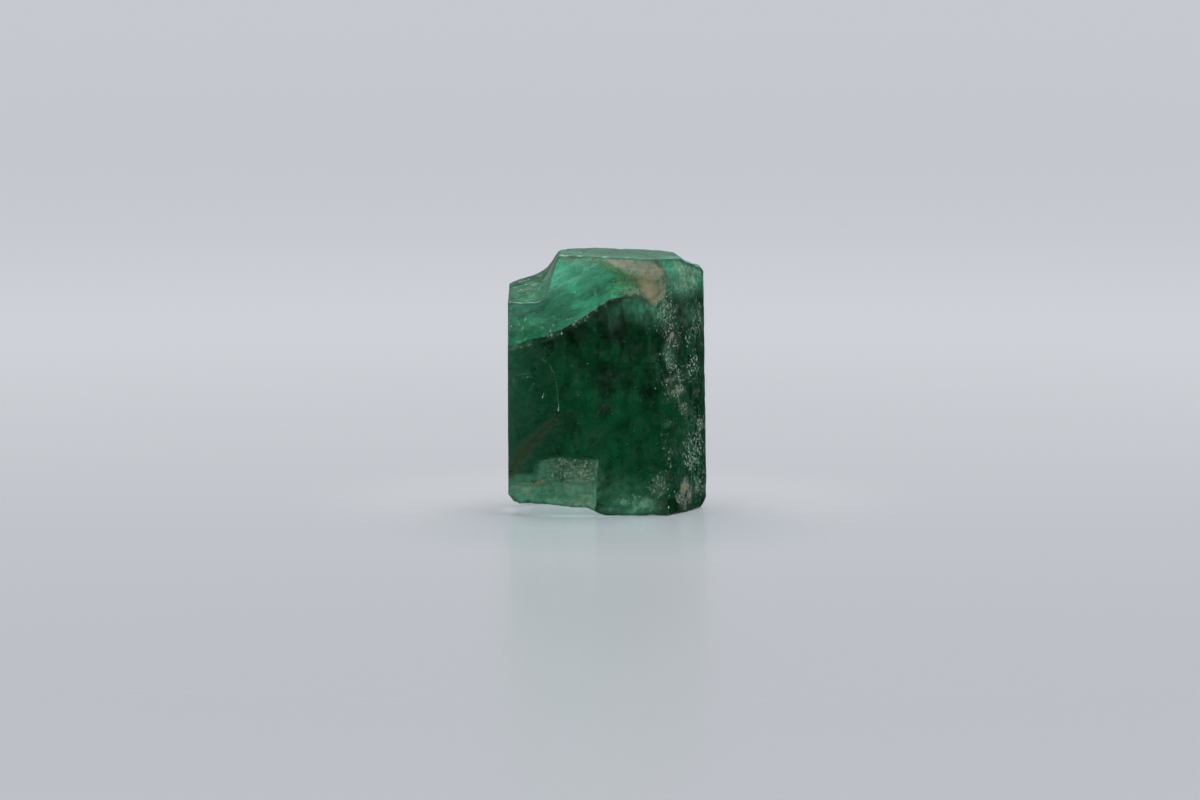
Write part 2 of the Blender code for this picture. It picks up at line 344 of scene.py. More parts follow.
def spot(x, z, cx, cz, rx, rz, turn=0.0):
    """1 in the middle of an ellipse, 0 outside it."""
    a = math.radians(turn)
    dx, dz = x - cx, z - cz
    u, v = dx * math.cos(a) + dz * math.sin(a), -dx * math.sin(a) + dz * math.cos(a)
    return smooth(1.0, 0.35, np.sqrt((u / rx) ** 2 + (v / rz) ** 2))


def trail(x, z, points, soft=0.5):
    """1 inside a chain of circles (x, z, radius) joined up, 0 outside it, with an edge that is soft times the radius wide."""
    best = np.full(x.shape, 9.0)
    for (x0, z0, r0), (x1, z1, r1) in zip(points[:-1], points[1:]):
        t = np.clip(((x - x0) * (x1 - x0) + (z - z0) * (z1 - z0)) / ((x1 - x0) ** 2 + (z1 - z0) ** 2), 0, 1)
        far = np.hypot(x - x0 - t * (x1 - x0), z - z0 - t * (z1 - z0)) / (r0 + t * (r1 - r0))
        best = np.minimum(best, far)
    return smooth(1.0 + soft, 1.0 - soft, best)


def put(mesh, name, values):
    attribute = mesh.attributes.new(name, "FLOAT", "POINT")
    attribute.data.foreach_set("value", np.clip(values, 0, 1).astype(np.float32))


def crystal_masks():
    x, y, z = P.T
    # Marks are thinned on surfaces that face up, through facing and turned below, so that the light from above does not
    # make the rounded top edges bright: a painted shade.
    level = smooth(0.35, 0.8, NORMAL[:, 2])  # surfaces that face up
    # rim: the rounded edges where the top, notch or corner meets the faces in front. The material coats them dark
    # green, a painted shade over the bright line that light makes there.
    near = dict(zip(NAMES, smooth(-0.16, -0.04, fields(P))))
    rim = np.maximum(np.maximum(near["top"], near["notch"]), near["corner"])
    rim = rim * np.maximum(np.maximum(near["front"], near["upper"]), np.maximum(near["pitted"], near["shoulder"]))
    rim = rim * (1 - 0.15 * level)
    s = dict(zip(NAMES, SHARE))
    relief = detail(P, SHARE)
    facing = smooth(-2.4, -3.6, y) * (1 - 0.85 * level)  # the broad face and what is just round its edges
    turned = smooth(0.2, -0.9, y) * (1 - 0.85 * level)  # that and the right front face
    n0 = fractal(x / 2.2 + 3, y / 2.2, z / 2.2)
    n1 = fractal(x / 0.9, y / 0.9, z / 0.9)
    n2 = fractal(x / 0.35 + 9, y / 0.35, z / 0.35)
    warp_x, warp_z = x + 0.12 * n1, z + 0.12 * fractal(x / 0.8, y / 0.8 + 7, z / 0.8)
    streaky = fractal(x / 1.6, y / 1.6 + 4, z / 0.22)
    fibres = fractal(x / 0.9, y / 0.9 + 2, z / 0.11)
    upright = fractal(x / 0.3 + 2, y / 0.3, z / 1.1)
    rough = s["pitted"] + s["shoulder"] + s["right_front"]
    bowls = s["back_left"] + s["back_low"] + s["back_right"]
    under = s["chip"] + s["foot"] + s["base"]
    behind = s["back"] + s["left_back"] + s["right_back"]

    frost = 0.07 * s["upper"] + 0.18 * s["notch"] + 0.5 * s["corner"] + 0.55 * bowls + 0.05 * rough + 0.35 * s["ledge"]
    frost = frost + 0.6 * under + 0.55 * behind + 0.4 * s["left"] + 0.45 * s["top"]
    frost = frost + 0.12 * n1 * (1 - s["front"] - s["upper"])

    # whitish cloud
    cloud = (0.08 + 0.08 * n1) * s["corner"] + (0.03 + 0.05 * n1) * s["top"]
    cloud = cloud + (0.3 + 0.12 * n0 + 0.08 * n1) * bowls + (0.1 + 0.05 * n1) * s["left"]
    drawn = fractal(x / 0.5, y / 0.5 + 3, z / 2.6)
    cloud = cloud + np.clip(0.5 + 0.1 * smooth(5.5, 9.0, z) + 0.3 * n0 + 0.08 * n1 + 0.16 * drawn, 0.06, 0.8) * behind
    cloud = cloud + 0.25 * spot(x, z, -0.6, 10.8, 2.3, 1.5) * s["back"]
    cloud = cloud + np.maximum(0, 0.03 * n1 + 0.03 * n2) * rough + 0.3 * under
    comb = smooth(0.0, 0.5, noise(x / 0.09, 1.0, z / 0.7)) * trail(x, z, [(-3.9, 3.45, 0.16), (-2.6, 3.5, 0.2), (-0.9, 3.4, 0.14)], 0.6)
    cloud = cloud + s["ledge"] * np.clip(0.1 * fibres + 0.06 * n2 + 0.06 * n1 + 0.2 * comb - 0.02, 0.0, 0.5)
    sand = trail(x + 0.1 * n2, z + 0.1 * n2, [(-3.2, 3.2, 0.3), (-2.2, 2.7, 0.75), (-1.2, 2.7, 0.8), (-0.9, 1.9, 0.6)], 0.6) * 0.9
    sand = np.maximum(sand, trail(x + 0.1 * n2, z + 0.1 * n2, [(-3.0, 3.4, 0.16), (-1.6, 3.5, 0.16), (-0.7, 3.45, 0.14)], 0.7))
    sand = np.maximum(sand, trail(x + 0.1 * n2, z + 0.1 * n2, [(-5.7, 1.9, 0.4), (-4.9, 1.7, 0.4)], 0.7) * 0.6)
    sand = np.maximum(sand, trail(x + 0.1 * n2, z + 0.06 * n2, [(-3.7, 1.9, 0.2), (-2.6, 1.75, 0.2), (-1.5, 1.3, 0.2)], 0.7) * 0.6)
    sand = np.maximum(sand, trail(x + 0.1 * n2, z + 0.06 * n2, [(-2.9, 0.85, 0.3), (-1.9, 0.7, 0.4), (-0.8, 0.75, 0.5)], 0.7) * 0.7)
    sand = sand * np.clip(0.8 + 0.4 * n1 + 0.3 * n2, 0, 1.1) * (0.7 * s["ledge"] + 0.4 * s["chip"])
    low_band = spot(warp_x, warp_z, 1.5, 0.5, 2.3, 0.85) * (0.1 + 0.2 * n1 + 0.25 * n2) + 0.14 * spot(warp_x, warp_z, 2.7, 0.7, 0.9, 0.55)
    by_ledge = trail(warp_x, z, [(-0.72, 3.3, 0.12), (-0.6, 2.4, 0.26), (-0.62, 1.3, 0.2)], 0.8) * np.clip(0.14 + 0.12 * n2 + 0.1 * n1, 0, 1)
    shoulder_haze = spot(warp_x, warp_z, 5.0, 14.7, 1.2, 1.2) * np.clip(0.1 + 0.15 * n1 + 0.2 * n2, 0, 0.5)
    beads = trail(x + 0.15 * n1, z, [(3.5, 14.4, 0.4), (3.4, 12.9, 0.42), (3.7, 11.5, 0.35), (3.85, 10.8, 0.3)], 0.8) * 0.6
    beads = np.maximum(beads, trail(x + 0.15 * n1, z + 0.1 * n2, [(4.0, 15.9, 0.2), (4.7, 15.3, 0.5), (5.3, 14.7, 0.55), (4.6, 14.2, 0.5)], 0.8) * 0.88)
    beads = beads * (1 - 0.75 * spot(x, z, 3.7, 11.8, 0.8, 1.3))
    beads = np.maximum(beads, spot(warp_x, warp_z, 3.1, 1.9, 1.0, 1.1) * 0.16)
    beads = np.maximum(beads, spot(warp_x, warp_z, 1.8, 0.9, 2.2, 0.6) * 0.25)
    cloud = cloud + facing * (low_band + by_ledge) + turned * shoulder_haze

    # milky green: the healed break above the line, most so towards the notch and the top
    v = z - break_line(x)
    silk = fractal(x / 3.0 - 0.5 * v, 1.0, v / 0.3)
    mint = s["upper"] * (0.42 * smooth(0.6, 4.4, v) + 0.03 * np.maximum(0, silk)) * smooth(3.4, 0.8, x)
    mint = mint + s["notch"] * (0.075 + 0.03 * n1 + 0.04 * n2) + s["corner"] * (0.06 + 0.06 * n1) + s["top"] * (0.09 + 0.04 * streaky)
    # thin pale streaks along ridges of the healed break: partly the break's own milky lines, partly a painted highlight
    # in place of the glints on its ridges
    for line, share in (([(-2.94, 13.66, 0.05), (-2.1, 14.3, 0.05), (-1.2, 15.6, 0.05)], 0.14), ([(-2.9, 13.8, 0.04), (-2.0, 13.82, 0.03)], 0.4),
                        ([(-2.0, 12.85, 0.04), (-0.06, 14.1, 0.05)], 0.16), ([(-3.7, 14.8, 0.05), (-1.25, 15.7, 0.05)], 0.06),
                        ([(-4.6, 12.9, 0.03), (-3.2, 12.95, 0.04)], 0.1), ([(-1.4, 13.5, 0.03), (-0.2, 14.5, 0.04)], 0.12)):
        mint = mint + facing * share * trail(x + 0.04 * n1, z + 0.03 * n2, line, 0.9) * np.clip(0.6 + 0.8 * n2, 0, 1.2)
    haze = smooth(-0.12, 0.3, z + 0.08 * n1 - 14.75 - 0.4 * (x + 3.6)) * smooth(0.4, -0.9, x) * s["upper"]
    cloud = cloud + haze * np.clip(0.13 + 0.08 * n1 + 0.08 * n2, 0, 0.35)
    mint = mint + s["ledge"] * np.clip(0.14 + 0.09 * n1 + 0.06 * fibres + (0.3 + 0.14 * n2 + 0.12 * streaky) * smooth(2.4, 1.6, z) - 0.07 * spot(x, z, -4.1, 2.9, 1.0, 0.8), 0.0, 0.6) + facing * 0.16 * spot(warp_x, warp_z, 1.2, 0.5, 2.4, 0.7)
    mint = mint + turned * 0.22 * spot(warp_x, warp_z, 3.8, 15.5, 1.2, 0.9, -25) * (1 + 0.2 * n1 + 0.2 * n2)
    mint = mint + turned * spot(warp_x, warp_z, 4.6, 14.9, 2.1, 1.9, -25) * np.clip(0.3 + 0.07 * n1 + 0.07 * n2, 0, 0.5)
    mint = mint + s["front"] * np.clip(0.003 + 0.012 * n0 + 0.014 * n1 + 0.012 * n2, 0, 0.05)
    mint = mint + turned * spot(warp_x, warp_z, 5.6, 14.8, 0.5, 0.9, 10) * np.clip(0.1 + 0.35 * n2 + 0.2 * n1, 0, 0.5)
    mint = mint + facing * spot(warp_x, warp_z, 1.9, 12.75, 1.7, 1.0, -12) * np.clip(0.17 + 0.08 * n1 + 0.08 * n2 + 0.12 * upright, 0, 0.45)
    mint = mint + facing * spot(warp_x, warp_z, 3.0, 12.5, 1.3, 1.3) * np.clip(0.08 + 0.1 * n1 + 0.12 * n2, 0, 0.3)
    mint = mint + facing * 0.12 * spot(warp_x, warp_z, -3.9, 2.85, 1.0, 0.6)
    mint = mint + facing * trail(warp_x, z, [(-6.2, 2.3, 0.2), (-5.2, 2.32, 0.26), (-4.3, 2.3, 0.2)], 0.8) * np.clip(0.24 + 0.12 * fibres + 0.08 * n1, 0, 0.5)
    mint = mint + facing * spot(warp_x, warp_z, 0.9, 1.6, 1.7, 1.1) * np.clip(0.07 + 0.05 * n1 + 0.05 * n2, 0, 0.2)
    mint = mint + facing * spot(warp_x, warp_z, 0.3, 12.2, 0.9, 1.1) * np.clip(0.05 + 0.03 * n1 + 0.05 * upright, 0, 0.16)
    mint = mint + turned * spot(warp_x, warp_z, 3.7, 9.9, 0.6, 1.1, 10) * np.clip(0.1 + 0.05 * n1 + 0.06 * n2, 0, 0.25)
    mint = mint + turned * spot(warp_x, warp_z, 3.6, 14.3, 0.5, 1.0) * 0.08 + turned * spot(warp_x, warp_z, 5.9, 14.2, 0.5, 1.1) * 0.12
    mint = mint + turned * spot(warp_x, warp_z, 5.1, 12.3, 0.9, 0.9, 15) * np.clip(0.08 + 0.12 * n2, 0, 0.25)

    # the pale patch under the top edge, its olive border and its amber heart
    white = trail(x + 0.05 * n2, z + 0.05 * n1, [(-0.1, 15.9, 0.14), (0.6, 15.65, 0.34), (1.5, 15.4, 0.52), (2.4, 15.2, 0.62), (2.95, 15.05, 0.5)], 0.5)
    border = trail(x + 0.1 * n2, z + 0.1 * n1, [(3.05, 15.2, 0.3), (3.35, 14.6, 0.3), (3.3, 13.9, 0.34), (2.95, 13.4, 0.3), (2.45, 13.15, 0.2)], 0.7)
    white = np.maximum(white * (0.85 + 0.12 * n2 + 0.1 * n1), border * np.clip(0.58 + 0.45 * n2, 0, 1))
    dull = trail(x + 0.1 * n1, z + 0.05 * n2, [(-3.2, 15.95, 0.22), (-1.4, 15.85, 0.3), (-0.3, 15.75, 0.26)], 0.8)
    white = np.maximum(white, dull * np.clip(0.4 + 0.3 * n2, 0, 0.7)) * (1 - 0.9 * spot(x, z, 1.27, 15.13, 0.13, 0.11)) * facing
    white = white + 0.4 * spot(warp_x, warp_z, 4.6, 15.9, 0.55, 0.4) * np.clip(0.4 + 0.6 * n2, 0, 1) * turned
    olive = trail(x + 0.06 * n1, z + 0.05 * n2, [(-1.0, 15.85, 0.1), (-0.3, 15.5, 0.14), (0.35, 15.25, 0.16), (1.2, 14.95, 0.2), (1.9, 14.65, 0.22)], 0.9) * 0.7
    olive = np.maximum(olive, trail(x + 0.05 * n2, z, [(2.8, 15.85, 0.08), (3.2, 15.3, 0.12), (3.5, 14.7, 0.1)], 0.9) * 0.8)
    olive = np.maximum(olive, spot(x, z, 1.5, 14.3, 1.6, 1.0, -15) * 0.5)
    olive = olive + spot(warp_x, warp_z, 2.75, 12.5, 0.5, 0.5) * 0.25
    amber = trail(x + 0.08 * n1, z + 0.08 * n2, [(2.1, 14.5, 0.34), (2.45, 14.2, 0.56), (2.75, 13.85, 0.5)], 0.8)
    stain = amber * (0.85 + 0.15 * n2)
    stain = stain + trail(warp_x, warp_z, [(-4.5, 2.05, 0.14), (-4.0, 2.05, 0.16)], 0.8) * 0.75
    stain = stain + spot(warp_x, warp_z, 4.8, 1.2, 0.7, 1.2) * np.clip(0.25 + 0.6 * n2, 0, 1)
    stain = stain + spot(warp_x, warp_z, 5.0, 14.8, 0.8, 0.8) * np.clip(0.05 + 0.3 * n2, 0, 1)
    stain = stain + s["notch"] * trail(x, z, [(-5.2, 14.6, 0.4), (-4.3, 14.3, 0.5), (-3.9, 15.0, 0.3)], 0.8) * np.clip(1.2 * n2 - 0.35, 0, 0.6)
    stain = stain * turned + s["ledge"] * np.clip(0.16 * fibres + 0.16 * streaky + 0.16 * n1 - 0.12, 0, 0.3)
    stain = stain + rough * np.maximum(0, n1 - 0.5) * 0.5 + (behind + s["left"]) * np.maximum(0, 0.7 * n1 + 0.5 * n0 - 0.35) * 0.6
    stain = stain + (bowls + under) * np.maximum(0, n1 - 0.3) * 0.6
    stain = stain + facing * trail(warp_x, z, [(-5.9, 2.3, 0.12), (-4.6, 2.3, 0.14)], 0.9) * np.clip(0.1 + 0.2 * fibres + 0.15 * n2, 0, 0.35)
    olive = olive * facing

    # a rusty healed crack low on the left, seen through the clear stone
    vein = trail(x + 0.16 * n1, z + 0.1 * n2, [(-2.9, 6.2, 0.08), (-3.9, 5.5, 0.22), (-4.8, 4.6, 0.32), (-5.6, 3.4, 0.4), (-6.2, 2.6, 0.4)], 0.9) * facing

    # flakes and specks on the right, in clusters: how crowded they are, and soft cloud round some of them
    flake = rough * np.clip(0.22 * n1, 0, 0.4)
    scab = 0.0
    for cx, cz, rx, rz, turn, crowd, haze in (
        (3.95, 10.6, 0.7, 0.5, 0, 0.1, 0.22), (3.0, 9.85, 0.6, 0.3, 0, 0.0, 0.14), (3.85, 9.25, 0.5, 0.5, 0, 0.5, 0.5),
        (4.4, 7.7, 0.48, 0.42, 0, 0.4, 0.55), (4.7, 6.45, 0.36, 0.62, 30, 0.5, 0.5), (5.3, 3.9, 0.9, 1.3, 0, 0.55, 0.06),
        (5.05, 3.0, 0.65, 0.36, 0, 0.7, 0.3), (4.4, 0.9, 0.45, 0.5, -20, 0.5, 0.5), (5.85, 1.6, 0.45, 1.1, 0, 0.35, 0.2),
        (5.2, 9.0, 0.6, 1.2, 0, 0.5, 0.0), (5.4, 12.0, 0.6, 1.6, 0, 0.35, 0.1), (3.9, 12.2, 0.6, 1.3, 10, 0.32, 0.08), (3.65, 9.8, 0.45, 0.75, 10, 0.35, 0.5),
        (4.9, 10.7, 0.35, 0.8, 0, 0.6, 0.0), (5.75, 5.3, 0.3, 0.7, 0, 0.6, 0.25), (3.0, 1.9, 0.8, 1.0, 0, 0.3, 0.0)):
        here = spot(x + 0.14 * n1 + 0.06 * n2, z + 0.16 * n1, cx, cz, rx, rz, turn) * turned
        flake = flake + crowd * here
        scab = scab + haze * here * np.clip(0.5 + 0.7 * n2 + 0.3 * n1, 0, 1)
    mint = mint + turned * 0.1 * spot(x + 0.3 * n2, z + 0.2 * n1, 3.6, 5.6, 0.4, 0.4)
    olive = olive + spot(warp_x, warp_z, 3.1, 1.8, 0.7, 0.9) * 0.2 * turned
    stain = stain + turned * (0.7 * spot(warp_x, warp_z, 3.9, 11.15, 0.22, 0.22) + 0.6 * spot(warp_x, warp_z, 4.72, 1.6, 0.3, 0.42))
    flake = flake + 0.25 * (under + s["ledge"])
    white = white * facing + 0.1 * scab
    cloud = cloud + 0.12 * scab
    sand = sand + s["notch"] * np.clip(0.01 + 0.16 * n2 + 0.12 * n1, 0, 0.2) + s["upper"] * np.clip(0.05 + 0.08 * n2 + 0.05 * n1, 0, 0.14)
    sand = sand + beads * turned * np.clip(0.7 + 0.5 * n1 + 0.5 * n2, 0, 1) + 1.5 * scab
    for name, values in (("frost", frost), ("cloud", cloud), ("white", white), ("iron", stain),
                         ("vein", vein), ("flake", flake), ("mint", mint), ("olive", olive),
                         ("sand", sand), ("rim", rim), ("silk", s["upper"] * smooth(2.8, 1.4, x) * facing), ("fibre", s["ledge"] + 0.5 * s["chip"] + 0.3 * under), ("recess", relief / 0.18)):
        put(mesh, name, values)


crystal_masks()
# ================================================================ what is inside


def plates(name, us, vs, surface, mask, thick=0.02, inset=0.05):
    """A thin broken sheet in the crystal: surface(u, v) where mask(u, v, points) is above 0. Each piece of it is closed."""
    u, v = np.meshgrid(us, vs, indexing="ij")

    def strength(u, v):
        p = np.stack(np.broadcast_arrays(*surface(u, v)), -1)
        inside = -whole(p.reshape(-1, 3), fine=False)[0].reshape(u.shape) - inset
        return np.minimum(mask(u, v, p), inside * 4), p

    m, _ = strength(u, v)
    cell = (m[:-1, :-1] + m[1:, :-1] + m[1:, 1:] + m[:-1, 1:]) > 0
    # cells that touch only at a corner are joined, so that each piece stays a clean solid
    for _ in range(3):
        a, b, c, d = cell[:-1, :-1], cell[1:, :-1], cell[1:, 1:], cell[:-1, 1:]
        cross1, cross2 = a & c & ~b & ~d, b & d & ~a & ~c
        cell[1:, :-1] |= cross1
        cell[:-1, :-1] |= cross2
    used = np.zeros(u.shape, int)
    for i in (0, 1):
        for j in (0, 1):
            used[i:u.shape[0] - 1 + i, j:u.shape[1] - 1 + j] += cell
    edge = (used > 0) & (used < 4)
    du, dv = us[1] - us[0], vs[1] - vs[0]
    mu, mv = np.gradient(m, du, dv)
    size = np.maximum(mu ** 2 + mv ** 2, 1e-6)
    u = u - np.where(edge, np.clip(m * mu / size, -0.45 * du, 0.45 * du), 0)
    v = v - np.where(edge, np.clip(m * mv / size, -0.45 * dv, 0.45 * dv), 0)
    p = np.stack(np.broadcast_arrays(*surface(u, v)), -1)
    tu = np.gradient(p, axis=0)
    tv = np.gradient(p, axis=1)
    normal = np.cross(tu, tv)
    normal /= np.maximum(np.linalg.norm(normal, axis=-1, keepdims=True), 1e-9)
    keep = used > 0
    index = np.full(u.shape, -1)
    index[keep] = np.arange(keep.sum())
    count = int(keep.sum())
    points = np.concatenate([(p + normal * thick / 2)[keep], (p - normal * thick / 2)[keep]])
    i, j = np.nonzero(cell)
    a, b, c, d = index[i, j], index[i + 1, j], index[i + 1, j + 1], index[i, j + 1]
    quads = [np.stack([a, b, c, d], 1), np.stack([d, c, b, a], 1) + count]
    padded = np.pad(cell, 1)
    for (di, dj), (e0, e1) in (((0, -1), (a, b)), ((1, 0), (b, c)), ((0, 1), (c, d)), ((-1, 0), (d, a))):
        open_side = ~padded[i + 1 + di, j + 1 + dj]
        f0, f1 = e0[open_side], e1[open_side]
        quads.append(np.stack([f1, f0, f0 + count, f1 + count], 1))
    quads = np.concatenate(quads)
    made = bpy.data.meshes.new(name)
    made.from_pydata((points * MM).tolist(), [], quads.tolist())
    obj = new_object(name, made)
    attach(obj, "root")
    return obj


def spread(a, b, step):
    return np.linspace(a, b, max(2, round((b - a) / step) + 1))


FINE = 0.09


def upper_feather():
    """The broad healed fracture that leans back behind the upper part of the front face."""

    def surface(x, v):
        z = break_line(x) + v
        deep = 1.5 + 1.7 * smooth(-1.3, -5.4, x) + 0.35 * smooth(-0.5, 2.0, x) + 0.55 * v - 0.12 * v * smooth(1.8, 3.8, v)
        deep = deep - 0.9 * smooth(-2.5, -5.0, x) * smooth(1.4, 3.0, v) + 0.3 * np.exp(-((x + 1.9) / 0.8) ** 2 - ((z - 14.1) / 0.45) ** 2)
        deep = deep + 0.05 * np.sin(4.2 * v + 2.2 * x) + (0.16 - 0.08 * smooth(-3.0, -4.2, x)) * fractal(x / 2.6, 1.0, v / 2.2)
        deep = deep + 0.03 * np.abs(noise(x * 0.7 - v * 0.5, 3.0, v * 3.1 + x * 0.4)) + 0.025 * noise(x * 1.3 - v * 0.6, 6.0, v * 7.0)
        return x, -HALF_D + np.maximum(upper_depth(x, z), 0) + deep, z

    def mask(x, v, p):
        lower = v - 0.02 - smooth(0.4, 2.4, x) * (0.15 + 0.5 * np.abs(fractal(x / 0.8, 5.0, v / 0.8)))
        worn = 2.9 - x + 0.9 * fractal(0.2, 6.0, v / 1.1) - 1.4 * grade(fractal(x / 0.24, 2.0, v / 0.2)) * smooth(0.4, 3.0, x)
        gaps = 0.93 - grade(fractal(x / 0.5, 2.0, v / 0.16)) - 0.5 * smooth(0.6, 3.2, x)
        lid = np.minimum(notch_height(p[..., 0], p[..., 1]), HEIGHT + 0.4) - p[..., 2] - 0.95 + 0.4 * smooth(-3.9, -3.2, x)
        return np.minimum(np.minimum(lower, worn), np.minimum(gaps, lid))

    obj = plates("upper_feather", spread(-6.2, 4.0, FINE), spread(-0.1, 5.8, FINE), surface, mask, 0.03)
    co = np.empty(len(obj.data.vertices) * 3)
    obj.data.vertices.foreach_get("co", co)
    x, y, z = co.reshape(-1, 3).T / MM
    put(obj.data, "tint", smooth(-2.8, -4.0, x) * smooth(2.2, 1.1, notch_height(x, y) - z))
    put(obj.data, "rust", 0.95 * smooth(-0.5, 1.4, x))
    return obj


def grade(n):
    """Turns noise into even shares of 0 to 1."""
    return 1 / (1 + np.exp(-3.4 * n))


def veil(name, centre, across, up, half, bend, seed, cover, spacing=0.07, grain=0.2, tall=2.5, patchy=0.22, below=99.0):
    """A bent veil of tiny healed cracks. cover(u, v) is the share of it that is there."""
    centre, across, up = (np.array(a, float) for a in (centre, across, up))
    across /= np.linalg.norm(across)
    up = up - across * (up @ across)
    up /= np.linalg.norm(up)
    out = np.cross(across, up)
    hu, hv = half
    spacing = spacing * 1.0

    def surface(u, v):
        w = bend * ((u / hu) ** 2 - 0.6 * (v / hv) ** 2) + 0.35 * fractal(u / 2.2, v / 2.2, seed)
        w = w + 0.04 * noise(u / 0.4, v / 1.2, seed + 2.0)
        p = centre + u[..., None] * across + v[..., None] * up + w[..., None] * out
        return p[..., 0], p[..., 1], p[..., 2]

    def mask(u, v, p):
        rim = 1 - (u / hu) ** 2 - (v / hv) ** 2
        big = patchy * fractal(u / 1.5, v / 2.4, seed + 3.0)
        small = grade(fractal(u / grain, v / (grain * tall), seed + 5.0))
        under = below - p[..., 2] + break_line(p[..., 0])
        return np.minimum(np.minimum((cover + big) * smooth(0.0, 0.8, rim) - small, rim * 3), under * 3)

    return plates(name, spread(-hu, hu, spacing), spread(-hv, hv, spacing), surface, mask, 0.02)


upper = upper_feather()
veils = [
    veil("veil_left", (-5.0, -1.9, 6.0), (1, 0.35, 0), (0.08, 0.1, 1), (2.6, 8.0), 0.4, 21.0, 0.8, 0.05, 0.09, 1.3, 0.08, 0.12),
    veil("veil_low", (0.6, -0.2, 3.2), (1, -0.12, 0.1), (0, 0.3, 1), (5.2, 3.0), 0.6, 33.0, 0.24, 0.06, 0.12, 1.6),
    veil("veil_middle", (1.8, 0.9, 8.6), (1, 0.35, 0), (0.1, -0.3, 1), (3.4, 3.6), 0.7, 45.0, 0.16, 0.06, 0.12, 1.8),
]


def closed_rims(centres, along, across, out, thick):
    """Vertices and faces of one thin closed plate per row. along and across hold the rim's offsets, (rows, points)."""
    rows, sides = along.shape
    t1, t2, n = out
    rim = centres[:, None] + along[..., None] * t1[:, None] + across[..., None] * t2[:, None]
    lift = n[:, None] * thick / 2
    points = np.concatenate([rim + lift, rim - lift], 1).reshape(-1, 3)
    start = np.arange(rows)[:, None] * sides * 2
    k = np.arange(sides)
    faces = [tuple(r) for r in (start + k)] + [tuple(r) for r in (start + sides + k[::-1])]
    j = (k + 1) % sides
    for a, b in zip(k, j):
        faces += [tuple(r) for r in np.concatenate([start + b, start + a, start + sides + a, start + sides + b], 1)]
    return points, faces


def flakes(name, count, seed, weight, size, deep, tall):
    """Many small plates just under the surface, most where weight is high. size and deep are ranges in millimetres."""
    rng = np.random.default_rng(seed)
    pick = rng.choice(len(P), count, p=weight / weight.sum())
    n = NORMAL[pick] + rng.normal(size=(count, 3)) * 0.25
    n /= np.linalg.norm(n, axis=1, keepdims=True)
    centres = P[pick] + rng.normal(size=(count, 3)) * 0.04 - NORMAL[pick] * rng.uniform(*deep, size=(count, 1))
    up = np.array((0.0, 0.0, 1.0)) + rng.normal(size=(count, 3)) * 0.5
    t1 = up - n * (up * n).sum(1, keepdims=True)
    t1 /= np.linalg.norm(t1, axis=1, keepdims=True)
    t2 = np.cross(n, t1)
    r = size[0] * (size[1] / size[0]) ** (rng.uniform(size=count) ** 1.6)
    angle = np.arange(7) * 2 * math.pi / 7 + rng.uniform(-0.2, 0.2, size=(count, 7))
    reach = r[:, None] * rng.uniform(0.55, 1.0, size=(count, 7))
    lengthen = rng.uniform(1.0, tall, size=(count, 1))
    inside = -whole(centres, fine=True)[0] > 0.02
    along, across = reach * np.cos(angle) * lengthen, reach * np.sin(angle)
    points, faces = closed_rims(centres[inside], along[inside], across[inside], (t1[inside], t2[inside], n[inside]), 0.012)
    made = bpy.data.meshes.new(name)
    made.from_pydata((points * MM).tolist(), [], faces)
    obj = new_object(name, made)
    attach(obj, "root")
    return obj


def crack(name, points, deep, seed, wave=0.05, thick=0.02, gaps=0.25, spacing=0.05):
    """A small sheet that stands on edge behind the broad face, along points (x, z), from deep[0] to deep[1] behind it."""
    xs, zs = np.array(points, float).T
    length = np.concatenate([[0], np.cumsum(np.hypot(np.diff(xs), np.diff(zs)))])

    def surface(u, v):
        x = np.interp(u, length, xs) + wave * noise(u * 2.0, v * 1.3, seed)
        z = np.interp(u, length, zs) + wave * noise(u * 2.0, v * 1.3, seed + 9)
        return x, -HALF_D + v, z

    def mask(u, v, p):
        ends = np.minimum(u, length[-1] - u) * 2
        fade = smooth(deep[1], deep[0] + 0.3 * (deep[1] - deep[0]), v)
        return np.minimum(ends, (1.2 - gaps) * fade + 0.25 - grade(fractal(u / 0.16, v / 0.4, seed + 3)))

    return plates(name, spread(0, length[-1], spacing), spread(deep[0], deep[1], spacing), surface, mask, thick, 0.02)


def glints(name, marks):
    """Single flakes just under the surface that faces the front. marks holds x, z, length, width (mm) and lean in degrees."""
    marks = np.array(marks, float)
    x, y, z = P.T
    front = np.nonzero((y < 0.2) & (NORMAL[:, 1] < -0.2))[0]
    near = front[[int(np.argmin((x[front] - m[0]) ** 2 + (z[front] - m[1]) ** 2)) for m in marks]]
    n = NORMAL[near] / np.linalg.norm(NORMAL[near], axis=1, keepdims=True)
    centres = P[near] - (0.03 + 0.3 * marks[:, 3:4]) * n
    n = n + np.array((0.0, 0.0, 0.65))
    n /= np.linalg.norm(n, axis=1, keepdims=True)
    lean = np.radians(marks[:, 4])[:, None]
    side_way = np.cross(n, (0.0, 0.0, 1.0))
    side_way /= -np.linalg.norm(side_way, axis=1, keepdims=True)
    up = np.cross(side_way, n)
    up *= np.sign(up[:, 2:3])
    t1 = up * np.cos(lean) + side_way * np.sin(lean)
    t2 = np.cross(n, t1)
    angle = np.arange(8) * 2 * math.pi / 8 + np.random.default_rng(12).uniform(-0.25, 0.25, size=(len(marks), 8))
    along, across = np.cos(angle) * marks[:, 2:3] / 2, np.sin(angle) * marks[:, 3:4] / 2
    points, faces = closed_rims(centres, along, across, (t1, t2, n), 0.012)
    made = bpy.data.meshes.new(name)
    made.from_pydata((points * MM).tolist(), [], faces)
    obj = new_object(name, made)
    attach(obj, "root")
    return obj


